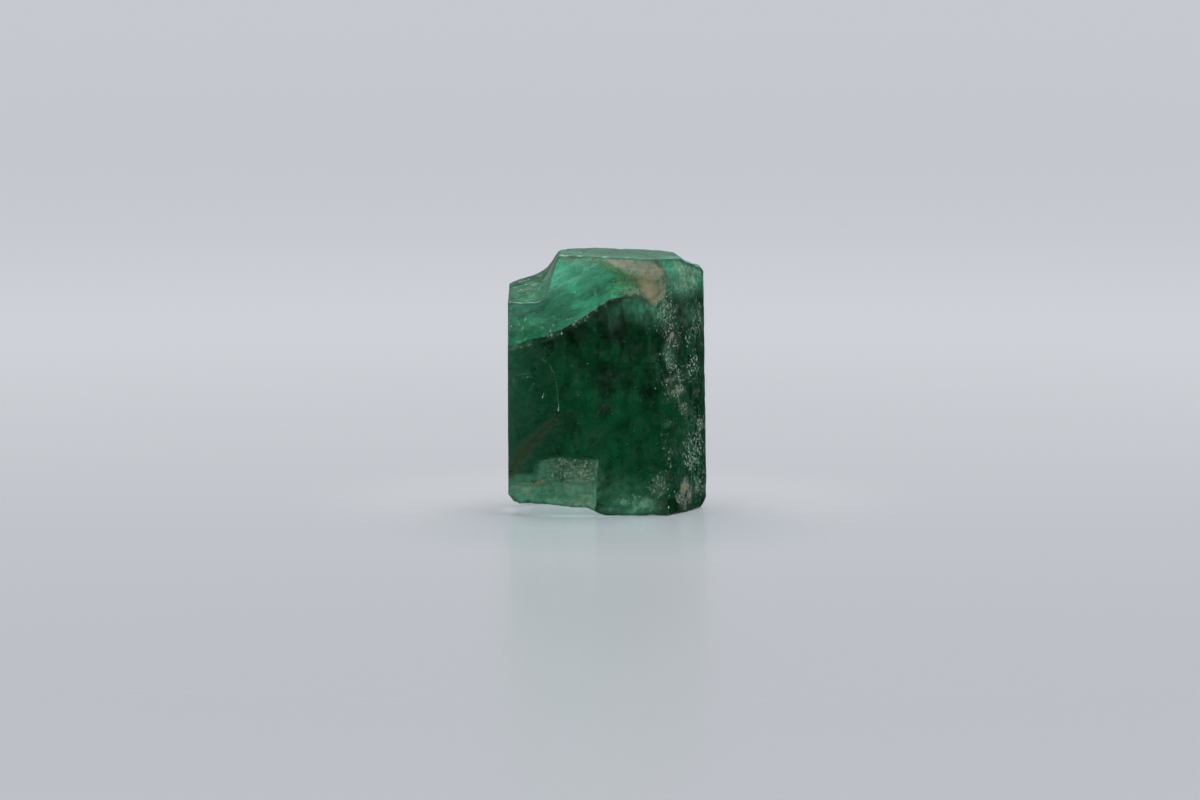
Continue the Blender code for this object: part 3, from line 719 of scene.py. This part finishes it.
def weight_of(kind):
    x, y, z = P.T
    s = dict(zip(NAMES, SHARE))
    clump = np.clip(0.2 + fractal(x / 0.8, y / 0.8, z / 1.4), 0, 1) ** 2
    rough = s["pitted"] + s["shoulder"] + s["right_front"]
    if kind == "rough":
        lower = 0.5 + 0.8 * spot(x, z, 5.4, 2.6, 1.4, 2.6) + 0.7 * spot(x, z, 5.0, 14.6, 1.4, 1.6)
        edge = 1.6 * trail(x, z, [(3.6, 11.6, 0.25), (3.9, 9.4, 0.3), (4.4, 7.6, 0.35), (4.9, 6.0, 0.35)], 0.8)
        others = 0.35 * (s["corner"] + s["back_right"] + s["right_back"]) + 0.3 * (s["back_low"] + s["back_left"] + s["foot"])
        return (rough * lower + edge * smooth(-2.0, -3.4, y) + others) * (0.02 + clump ** 1.4)
    if kind == "ledge":
        return s["ledge"] * (0.3 + clump) + 0.3 * s["chip"] * clump + 0.4 * spot(x, z, 1.6, 0.8, 2.0, 0.8) * clump * smooth(-3.6, -4.2, y)
    return (0.004 + 0.25 * clump) * (s["front"] + 0.5 * s["upper"] + s["back"] + s["left"] + s["left_back"])


mica = flakes("mica", 1300, 3, weight_of("rough"), (0.012, 0.07), (0.03, 0.25), 2.4)
grit = flakes("grit", 600, 4, weight_of("ledge"), (0.02, 0.06), (0.02, 0.15), 1.5)
dots = flakes("dots", 420, 5, weight_of("all"), (0.015, 0.04), (0.1, 1.6), 1.4)
cracks = [
    crack("crack_left", [(-4.2, 9.75), (-3.6, 9.35), (-3.25, 8.5), (-3.1, 7.2), (-3.05, 6.7)], (0.5, 1.4), 2.0, gaps=0.9),
    crack("crack_low", [(-0.9, 6.0), (-0.2, 6.9), (0.0, 7.5), (-0.1, 8.0)], (1.0, 1.9), 8.0, gaps=0.96),
]

glint = glints("glints", [
    (-2.9, 11.3, 0.16, 0.14, 20), (-1.25, 9.5, 0.06, 0.06, 0), (-1.56, 7.3, 0.05, 0.05, 0), (-2.5, 6.5, 0.06, 0.04, 0),
    (-1.9, 5.7, 0.05, 0.05, 0), (1.56, 5.3, 0.06, 0.05, 0), (-5.8, 8.3, 0.07, 0.05, 10), (-4.06, 7.5, 0.42, 0.05, 12),
    (-3.12, 6.65, 0.5, 0.05, 4), (4.8, 10.9, 0.42, 0.06, 0), (4.9, 10.35, 0.25, 0.07, -10), (5.23, 6.75, 0.3, 0.05, -25),
    (5.4, 6.45, 0.22, 0.04, -50), (5.72, 5.9, 0.42, 0.05, 62), (5.8, 5.45, 0.5, 0.06, 45), (5.2, 5.7, 0.12, 0.1, 0),
    (3.3, 8.2, 0.3, 0.04, -15), (2.9, 7.9, 0.2, 0.03, 5), (4.05, 8.4, 0.24, 0.04, 35), (5.0, 4.9, 0.14, 0.07, 15),
    (-5.2, 8.75, 0.9, 0.03, 84), (-5.0, 8.6, 0.7, 0.03, 80), (1.3, 15.1, 0.1, 0.07, 0), (0.2, 12.3, 0.05, 0.05, 0),
    (5.6, 14.9, 0.12, 0.1, 0), (5.75, 14.5, 0.2, 0.06, 10), (5.5, 14.3, 0.1, 0.08, 0), (4.2, 14.0, 0.12, 0.05, 30),
    (-3.3, 5.9, 0.16, 0.05, -30), (0.9, 10.9, 0.06, 0.05, 0), (1.8, 3.0, 0.05, 0.05, 0), (-0.6, 4.6, 0.05, 0.04, 0),
])

# ================================================================ materials


def material(name):
    m = bpy.data.materials.new(name)
    m.use_nodes = True
    m.node_tree.nodes.clear()
    return m, m.node_tree.nodes, m.node_tree.links


class Graph:
    """Short calls for building a node tree."""

    def __init__(self, name):
        self.material, self.nodes, self.links = material(name)
        self.place = self.nodes.new("ShaderNodeTexCoord").outputs["Object"]

    def set(self, socket, value):
        if hasattr(value, "is_output"):
            self.links.new(value, socket)
        else:
            socket.default_value = value

    def math(self, kind, a, b=0.0, clamp=False):
        n = self.nodes.new("ShaderNodeMath")
        n.operation, n.use_clamp = kind, clamp
        self.set(n.inputs[0], a)
        self.set(n.inputs[1], b)
        return n.outputs[0]

    def mask(self, name):
        n = self.nodes.new("ShaderNodeAttribute")
        n.attribute_name = name
        return n.outputs["Fac"]

    def stretch(self, scale):
        n = self.nodes.new("ShaderNodeMapping")
        self.set(n.inputs["Vector"], self.place)
        n.inputs["Scale"].default_value = scale
        return n.outputs[0]

    def along(self, degrees, times):
        """Coordinates in which a pattern is drawn out along a line in the broad face that rises by degrees to the right."""
        n = self.nodes.new("ShaderNodeMapping")
        n.vector_type = "TEXTURE"
        self.set(n.inputs["Vector"], self.place)
        n.inputs["Rotation"].default_value = (0.0, -math.radians(degrees), 0.0)
        n.inputs["Scale"].default_value = (times, 1.0, 1.0)
        return n.outputs[0]

    def noise(self, scale, detail=4.0, rough=0.55, vector=None, warp=0.0):
        """scale in cells per metre."""
        n = self.nodes.new("ShaderNodeTexNoise")
        self.set(n.inputs["Vector"], vector or self.place)
        n.inputs["Scale"].default_value = scale
        n.inputs["Detail"].default_value = detail
        n.inputs["Roughness"].default_value = rough
        n.inputs["Distortion"].default_value = warp
        return n.outputs["Fac"]

    def cells(self, scale, vector=None, feature="F1", randomness=1.0):
        n = self.nodes.new("ShaderNodeTexVoronoi")
        n.feature = feature
        self.set(n.inputs["Vector"], vector or self.place)
        n.inputs["Scale"].default_value = scale
        n.inputs["Randomness"].default_value = randomness
        return n

    def between(self, value, low, high, a=0.0, b=1.0, smoothly=True):
        n = self.nodes.new("ShaderNodeMapRange")
        n.interpolation_type = "SMOOTHSTEP" if smoothly else "LINEAR"
        self.set(n.inputs["Value"], value)
        n.inputs["From Min"].default_value, n.inputs["From Max"].default_value = low, high
        n.inputs["To Min"].default_value, n.inputs["To Max"].default_value = a, b
        return n.outputs["Result"]

    def mix(self, factor, a, b):
        n = self.nodes.new("ShaderNodeMix")
        n.data_type = "RGBA"
        self.set(n.inputs["Factor"], factor)
        self.set(n.inputs["A"], a)
        self.set(n.inputs["B"], b)
        return n.outputs["Result"]

    def bump(self, height, distance, strength=1.0, normal=None):
        n = self.nodes.new("ShaderNodeBump")
        self.set(n.inputs["Height"], height)
        n.inputs["Distance"].default_value = distance
        self.set(n.inputs["Strength"], strength)
        if normal is not None:
            self.set(n.inputs["Normal"], normal)
        return n.outputs["Normal"]


def colour(r, g, b):
    return (r, g, b, 1.0)


def emerald_material():
    g = Graph("emerald")
    out = g.nodes.new("ShaderNodeOutputMaterial")
    shader = g.nodes.new("ShaderNodeBsdfPrincipled")
    frost, cloud, white, iron, vein = (g.mask(n) for n in ("frost", "cloud", "white", "iron", "vein"))
    flake, mint, olive, fibre, sand, silk, rim = (g.mask(n) for n in ("flake", "mint", "olive", "fibre", "sand", "silk", "rim"))
    fine = g.noise(5200, 4, 0.6)
    medium = g.noise(1500, 5, 0.6)
    upright = g.stretch((1.0, 1.0, 0.22))
    scratch = g.noise(6500, 3, 0.6, upright)

    # how much of the surface is milky rather than clear
    milky = g.math("MULTIPLY", cloud, g.between(g.noise(1500, 5, 0.6, g.stretch((1.0, 1.0, 0.3))), 0.3, 0.7, 0.65, 1.25))
    milky = g.math("MULTIPLY", milky, g.between(fine, 0.3, 0.7, 0.75, 1.2), True)
    # pale flakes on the rough faces
    specks = g.noise(8500, 1.0, 0.5, g.stretch((1.0, 1.0, 0.6)))
    flecks = g.math("ADD", g.math("MULTIPLY", specks, 0.75), g.math("MULTIPLY", g.noise(3200, 2, 0.5), 0.25))
    flecks = g.between(g.math("ADD", flecks, g.math("MULTIPLY", flake, 0.14)), 0.62, 0.67)
    flecks = g.math("MULTIPLY", flecks, g.between(flake, 0.0, 0.3, 0.0, 0.78), True)
    stain = g.math("MULTIPLY", iron, g.between(fine, 0.3, 0.7, 0.8, 1.2), True)
    pale = g.math("MULTIPLY", white, g.between(fine, 0.36, 0.6, 0.88, 1.08), True)

    base = g.mix(g.between(milky, 0.0, 0.05), colour(0.94, 1.0, 0.97), colour(0.34, 0.72, 0.47))
    base = g.mix(g.between(milky, 0.2, 0.75), base, colour(0.2, 0.52, 0.33))
    # fine strokes along the healed break
    stroke = g.noise(2600, 5, 0.7, g.along(27.0, 5.0))
    minty = g.math("MULTIPLY", mint, g.between(fine, 0.3, 0.7, 0.85, 1.15))
    minty = g.math("MULTIPLY", minty, g.math("ADD", 1.0, g.math("MULTIPLY", silk, g.between(stroke, 0.35, 0.65, -0.45, 0.45, False))))
    minty = g.math("ADD", minty, g.math("MULTIPLY", silk, g.between(stroke, 0.54, 0.68, 0.0, 0.1)), True)
    grain = g.noise(8300, 1.0, 0.5, g.stretch((1.0, 1.0, 0.85)))
    sandy = g.between(g.math("ADD", grain, g.math("MULTIPLY", sand, 0.17)), 0.625, 0.67)
    sandy = g.math("MULTIPLY", sandy, g.between(sand, 0.0, 0.15, 0.0, 0.8), True)
    dusty = g.math("MULTIPLY", sand, g.between(g.noise(3400, 3, 0.6), 0.35, 0.65, 0.02, 0.22), True)
    dusty = g.math("MULTIPLY", dusty, g.math("SUBTRACT", 1.0, g.math("MULTIPLY", fibre, 0.7), True), True)
    olive = g.math("MULTIPLY", olive, g.between(g.noise(7000, 2, 0.6), 0.36, 0.6, 0.45, 1.25), True)
    base = g.mix(g.math("DIVIDE", minty, g.math("ADD", g.math("ADD", minty, milky), 0.03)), base, g.mix(silk, colour(0.11, 0.72, 0.4), colour(0.11, 0.72, 0.45)))
    base = g.mix(g.math("MULTIPLY", fibre, 0.35, True), base, colour(0.22, 0.68, 0.34))
    base = g.mix(flecks, base, colour(0.45, 0.58, 0.47))
    base = g.mix(olive, base, colour(0.30, 0.42, 0.12))
    base = g.mix(pale, base, g.mix(g.between(g.noise(2600, 5, 0.7), 0.38, 0.64), colour(0.31, 0.29, 0.19), colour(0.53, 0.41, 0.33)))
    brown = g.mix(g.between(medium, 0.35, 0.65), colour(0.4, 0.36, 0.15), colour(0.6, 0.44, 0.21))
    base = g.mix(stain, base, brown)
    base = g.mix(g.math("MULTIPLY", dusty, 3.0, True), base, colour(0.34, 0.5, 0.28))
    beige = g.math("MAXIMUM", g.math("MULTIPLY", fibre, 0.75), g.between(medium, 0.5, 0.65), True)
    base = g.mix(sandy, base, g.mix(beige, colour(0.5, 0.64, 0.48), colour(0.68, 0.62, 0.42)))
    base = g.mix(g.math("MULTIPLY", vein, 0.85), base, colour(0.27, 0.2, 0.06))
    # painted shade: a dark green coat on the rounded top front edges
    rim = g.math("MULTIPLY", rim, 1.6, True)
    base = g.mix(rim, base, colour(0.048, 0.13, 0.095))
    solid = g.math("MAXIMUM", g.math("ADD", milky, minty, True), g.math("MULTIPLY", flecks, 0.7))
    solid = g.math("ADD", solid, dusty, True)
    solid = g.math("MAXIMUM", solid, g.math("MULTIPLY", sandy, 0.62))
    solid = g.math("MAXIMUM", solid, g.math("MULTIPLY", pale, 0.78))
    solid = g.math("MAXIMUM", solid, g.math("MULTIPLY", stain, 0.65))
    solid = g.math("MAXIMUM", solid, g.math("MULTIPLY", olive, 0.4))
    solid = g.math("MAXIMUM", solid, rim)
    solid = g.math("MAXIMUM", solid, g.math("MULTIPLY", vein, 0.07), True)
    clear = g.math("SUBTRACT", 1.0, solid, True)

    polish = g.between(frost, 0.0, 1.0, 0.05, 0.6, False)
    polish = g.math("ADD", polish, g.between(medium, 0.3, 0.7, -0.02, 0.04))
    polish = g.math("ADD", polish, g.math("MULTIPLY", solid, 0.2), True)

    normal = g.bump(g.noise(900, 2, 0.5, g.stretch((1.0, 1.0, 0.12))), 0.00002, 0.5)
    normal = g.bump(scratch, 0.000006, g.between(frost, 0, 0.6, 0.1, 0.8), normal)
    normal = g.bump(g.noise(4200, 2, 0.5), 0.00001, g.between(frost, 0.0, 0.6, 0.05, 0.9), normal)

    threads = g.noise(1500, 4, 0.65, g.stretch((1.0, 1.0, 6.0)))
    normal = g.bump(threads, 0.00003, g.math("MULTIPLY", fibre, 0.9, True), normal)

    g.set(shader.inputs["Base Color"], base)
    g.set(shader.inputs["Roughness"], polish)
    g.set(shader.inputs["Transmission Weight"], clear)
    g.set(shader.inputs["Normal"], normal)
    shader.inputs["IOR"].default_value = 1.58
    volume = g.nodes.new("ShaderNodeVolumeAbsorption")
    volume.inputs["Color"].default_value = (0.10, 0.633, 0.468, 1)
    volume.inputs["Density"].default_value = 600.0
    g.links.new(shader.outputs["BSDF"], out.inputs["Surface"])
    g.links.new(volume.outputs["Volume"], out.inputs["Volume"])
    return g.material


def veil_material(name, light, dark, scale=2500, metal=0.0, rough=(0.45, 0.7), through=0.0, tint=None):
    g = Graph(name)
    out = g.nodes.new("ShaderNodeOutputMaterial")
    shader = g.nodes.new("ShaderNodeBsdfPrincipled")
    tone = g.noise(scale, 5, 0.6, warp=0.6)
    base = g.mix(g.between(tone, 0.32, 0.68), dark, light)
    if tint is not None:
        base = g.mix(g.mask("rust"), g.mix(g.mask("tint"), base, tint), colour(0.4, 0.46, 0.26))
    g.set(shader.inputs["Base Color"], base)
    g.set(shader.inputs["Roughness"], g.between(tone, 0.3, 0.7, *rough))
    g.set(shader.inputs["Normal"], g.bump(tone, 0.00001, 0.5))
    shader.inputs["Metallic"].default_value = metal
    if through:
        glow = g.nodes.new("ShaderNodeBsdfTranslucent")
        glow.inputs["Color"].default_value = light
        both = g.nodes.new("ShaderNodeMixShader")
        both.inputs["Fac"].default_value = through
        g.links.new(shader.outputs["BSDF"], both.inputs[1])
        g.links.new(glow.outputs["BSDF"], both.inputs[2])
        g.links.new(both.outputs["Shader"], out.inputs["Surface"])
    else:
        g.links.new(shader.outputs["BSDF"], out.inputs["Surface"])
    return g.material


crystal.data.materials.append(emerald_material())
feather = veil_material("feather", colour(0.95, 1.0, 1.0), colour(0.62, 0.76, 0.82), 3200, 0.35, (0.45, 0.6), tint=colour(0.3, 0.72, 0.52))
lace = veil_material("lace", colour(0.85, 0.9, 0.85), colour(0.6, 0.7, 0.62), 2600, through=0.55)
silver = veil_material("mica_scale", colour(0.78, 0.9, 0.8), colour(0.5, 0.64, 0.53), 6000, 0.3, (0.3, 0.5))
sand = veil_material("sandy", colour(0.8, 0.76, 0.62), colour(0.5, 0.46, 0.33), 5000)
upper.data.materials.append(feather)
for piece in veils + cracks:
    piece.data.materials.append(lace)
mica.data.materials.append(silver)
glint.data.materials.append(silver)
dots.data.materials.append(silver)
grit.data.materials.append(sand)

# ================================================================ stage, light and camera

profile = [(r, 0.4 * max(0.0, (r - 0.31) / 0.34) ** 2.4) for r in (0.06, 0.2, 0.3, *np.linspace(0.33, 0.66, 22))]
bm = bmesh.new()
ring = None
COUNT = 96
centre = bm.verts.new((0, 0, 0))
for r, z in profile:
    new = [bm.verts.new((r * math.cos(2 * math.pi * k / COUNT), r * math.sin(2 * math.pi * k / COUNT), z)) for k in range(COUNT)]
    for k in range(COUNT):
        if ring is None:
            bm.faces.new((centre, new[k], new[(k + 1) % COUNT]))
        else:
            bm.faces.new((ring[k], new[k], new[(k + 1) % COUNT], ring[(k + 1) % COUNT]))
    ring = new
floor_mesh = bpy.data.meshes.new("floor")
bm.to_mesh(floor_mesh)
bm.free()
floor_mesh.shade_smooth()
floor = new_object("floor", floor_mesh)
floor.visible_glossy = False
sheet, N, L = material("pale_sheet")
out = N.new("ShaderNodeOutputMaterial")
flat = N.new("ShaderNodeBsdfDiffuse")
flat.inputs["Color"].default_value = (0.17, 0.178, 0.19, 1)
glow = N.new("ShaderNodeEmission")  # painted glow: an emission that stands in for light in the sheet, so that the stone's shadows on it stay faint
diffuse_and_painted_glow = N.new("ShaderNodeAddShader")
L.new(flat.outputs[0], diffuse_and_painted_glow.inputs[0])
L.new(glow.outputs[0], diffuse_and_painted_glow.inputs[1])
spot_on = N.new("ShaderNodeTexCoord")
far = N.new("ShaderNodeVectorMath")
far.operation = "LENGTH"
L.new(spot_on.outputs["Object"], far.inputs[0])
# painted light: the glow is brighter further from the stone
painted_glow_outwards = N.new("ShaderNodeMapRange")
painted_glow_outwards.interpolation_type = "SMOOTHSTEP"
L.new(far.outputs["Value"], painted_glow_outwards.inputs["Value"])
painted_glow_outwards.inputs["From Min"].default_value, painted_glow_outwards.inputs["From Max"].default_value = 0.1, 0.42
tone = N.new("ShaderNodeMix")
tone.data_type = "RGBA"
L.new(painted_glow_outwards.outputs["Result"], tone.inputs["Factor"])
tone.inputs["A"].default_value = (0.2, 0.206, 0.222, 1)
tone.inputs["B"].default_value = (0.272, 0.284, 0.307, 1)
# painted light: the glow is brighter towards the back
ahead_behind = N.new("ShaderNodeSeparateXYZ")
L.new(spot_on.outputs["Object"], ahead_behind.inputs[0])
lift = N.new("ShaderNodeMapRange")
lift.interpolation_type = "SMOOTHSTEP"
L.new(ahead_behind.outputs["Y"], lift.inputs["Value"])
for key, value in zip(("From Min", "From Max", "To Min", "To Max"), (-0.09, 0.07, 0.0, 0.085)):
    lift.inputs[key].default_value = value
lifted = N.new("ShaderNodeVectorMath")
L.new(tone.outputs["Result"], lifted.inputs[0])
L.new(lift.outputs["Result"], lifted.inputs[1])
round_it = N.new("ShaderNodeVectorMath")  # painted light: extra glow next to and behind the stone, which evens out the sheet there
round_it.operation = "DISTANCE"
round_it.inputs[1].default_value = (0.0, 0.006, 0.0)
L.new(spot_on.outputs["Object"], round_it.inputs[0])
painted_glow_beside = N.new("ShaderNodeMapRange")
painted_glow_beside.interpolation_type = "SMOOTHSTEP"
L.new(round_it.outputs["Value"], painted_glow_beside.inputs["Value"])
for key, value in zip(("From Min", "From Max", "To Min", "To Max"), (0.022, 0.009, 0.0, 0.042)):
    painted_glow_beside.inputs[key].default_value = value
level_with = N.new("ShaderNodeVectorMath")
L.new(lifted.outputs["Vector"], level_with.inputs[0])
L.new(painted_glow_beside.outputs["Result"], level_with.inputs[1])
painted_green_cast = N.new("ShaderNodeMapRange")  # painted light: the glow is made brighter and greener under the stone's raised left side
painted_green_cast.interpolation_type = "SMOOTHSTEP"
beneath = N.new("ShaderNodeMapping")
L.new(spot_on.outputs["Object"], beneath.inputs["Vector"])
beneath.inputs["Location"].default_value = (0.32, 0.37, 0.0)
beneath.inputs["Scale"].default_value = (1 / 0.005, 1 / 0.0038, 1.0)
inside = N.new("ShaderNodeVectorMath")
inside.operation = "LENGTH"
L.new(beneath.outputs[0], inside.inputs[0])
L.new(inside.outputs["Value"], painted_green_cast.inputs["Value"])
painted_green_cast.inputs["From Min"].default_value, painted_green_cast.inputs["From Max"].default_value = 1.12, 0.8
green = N.new("ShaderNodeMix")
green.data_type = "RGBA"
green.blend_type = "MULTIPLY"
green.inputs["B"].default_value = (1.7, 1.75, 1.8, 1)
L.new(painted_green_cast.outputs["Result"], green.inputs["Factor"])
shade = N.new("ShaderNodeMapRange")  # painted shadow: the glow is darkened close to the stone, most in front of it
shade.interpolation_type = "SMOOTHSTEP"
moved = N.new("ShaderNodeVectorMath")
moved.inputs[1].default_value = (0.0, 0.01, 0.0)
L.new(spot_on.outputs["Object"], moved.inputs[0])
near_front = N.new("ShaderNodeVectorMath")
near_front.operation = "LENGTH"
L.new(moved.outputs["Vector"], near_front.inputs[0])
L.new(near_front.outputs["Value"], shade.inputs["Value"])
shade.inputs["From Min"].default_value, shade.inputs["From Max"].default_value = 0.016, 0.003
dim = N.new("ShaderNodeMix")
dim.data_type = "RGBA"
dim.blend_type = "MULTIPLY"
dim.inputs["B"].default_value = (0.6, 0.7, 0.71, 1)
L.new(shade.outputs["Result"], dim.inputs["Factor"])
L.new(level_with.outputs["Vector"], dim.inputs["A"])
L.new(dim.outputs["Result"], green.inputs["A"])
L.new(green.outputs["Result"], glow.inputs["Color"])
sheen = N.new("ShaderNodeBsdfGlossy")
sheen.inputs["Color"].default_value = (2.0, 2.1, 2.2, 1)
sheen.inputs["Roughness"].default_value = 0.24
both = N.new("ShaderNodeMixShader")
shine = N.new("ShaderNodeMapRange")
shine.interpolation_type = "SMOOTHSTEP"
L.new(far.outputs["Value"], shine.inputs["Value"])
for key, value in zip(("From Min", "From Max", "To Min", "To Max"), (0.03, 0.16, 0.26, 0.04)):
    shine.inputs[key].default_value = value
L.new(shine.outputs["Result"], both.inputs["Fac"])
L.new(diffuse_and_painted_glow.outputs[0], both.inputs[1])
L.new(sheen.outputs[0], both.inputs[2])
L.new(both.outputs[0], out.inputs["Surface"])
floor.data.materials.append(sheet)

world = bpy.data.worlds.new("studio")
bpy.context.scene.world = world
world.use_nodes = True
N, L = world.node_tree.nodes, world.node_tree.links
N.clear()
out = N.new("ShaderNodeOutputWorld")
back = N.new("ShaderNodeBackground")
where = N.new("ShaderNodeTexCoord")
split = N.new("ShaderNodeSeparateXYZ")
L.new(where.outputs["Generated"], split.inputs[0])


def step(socket, low, high, a, b):
    n = N.new("ShaderNodeMapRange")
    n.interpolation_type = "SMOOTHSTEP"
    L.new(socket, n.inputs["Value"])
    for key, value in zip(("From Min", "From Max", "To Min", "To Max"), (low, high, a, b)):
        n.inputs[key].default_value = value
    return n.outputs["Result"]


def combine(kind, a, b):
    n = N.new("ShaderNodeMath")
    n.operation = kind
    L.new(a, n.inputs[0])
    L.new(b, n.inputs[1])
    return n.outputs[0]


# a bright ceiling, a lit backdrop behind the stone, and a dim room in front of it
ceiling = step(split.outputs["Z"], 0.6, 0.95, 0.02, 0.3)
backdrop = combine("MULTIPLY", step(split.outputs["Y"], 0.6, 0.9, 0.0, 0.13), step(split.outputs["Z"], 0.5, 0.25, 0.0, 1.0))
L.new(combine("ADD", ceiling, backdrop), back.inputs["Color"])
back.inputs["Strength"].default_value = 1.0
L.new(back.outputs["Background"], out.inputs["Surface"])


def area(name, place, aim, size, power, colour=(1, 1, 1)):
    data = bpy.data.lights.new(name, "AREA")
    data.shape = "RECTANGLE"
    data.size, data.size_y = size
    data.energy = power
    data.color = colour
    lamp = bpy.data.objects.new(name, data)
    lamp.visible_glossy = False
    bpy.context.scene.collection.objects.link(lamp)
    lamp.location = place
    lamp.rotation_mode = "QUATERNION"
    lamp.rotation_quaternion = (Vector(aim) - Vector(place)).to_track_quat("-Z", "Y")
    return lamp


area("softbox", (0.0, 0.03, 0.42), (0, 0.01, 0), (0.42, 0.36), 4.3)
area("fill", (-0.08, -0.32, 0.19), (0, 0, 0.004), (0.3, 0.2), 0.12)

camera_data = bpy.data.cameras.new("camera")
camera_data.lens, camera_data.sensor_width = 144, 36
camera_data.clip_start, camera_data.clip_end = 0.01, 5
camera = bpy.data.objects.new("camera", camera_data)
bpy.context.scene.collection.objects.link(camera)
ELEVATION, DISTANCE = math.radians(5.5), 0.3
ahead = Vector((0, math.cos(ELEVATION), -math.sin(ELEVATION)))
above = Vector((0, math.sin(ELEVATION), math.cos(ELEVATION)))
aim = Vector((0, 0, 0.008)) + Vector((-0.00052, 0, 0)) - above * 0.00123
camera.location = aim - ahead * DISTANCE
camera.rotation_mode = "QUATERNION"
camera.rotation_quaternion = ahead.to_track_quat("-Z", "Y")
bpy.context.scene.camera = camera
bpy.context.scene.view_settings.view_transform = "Standard"
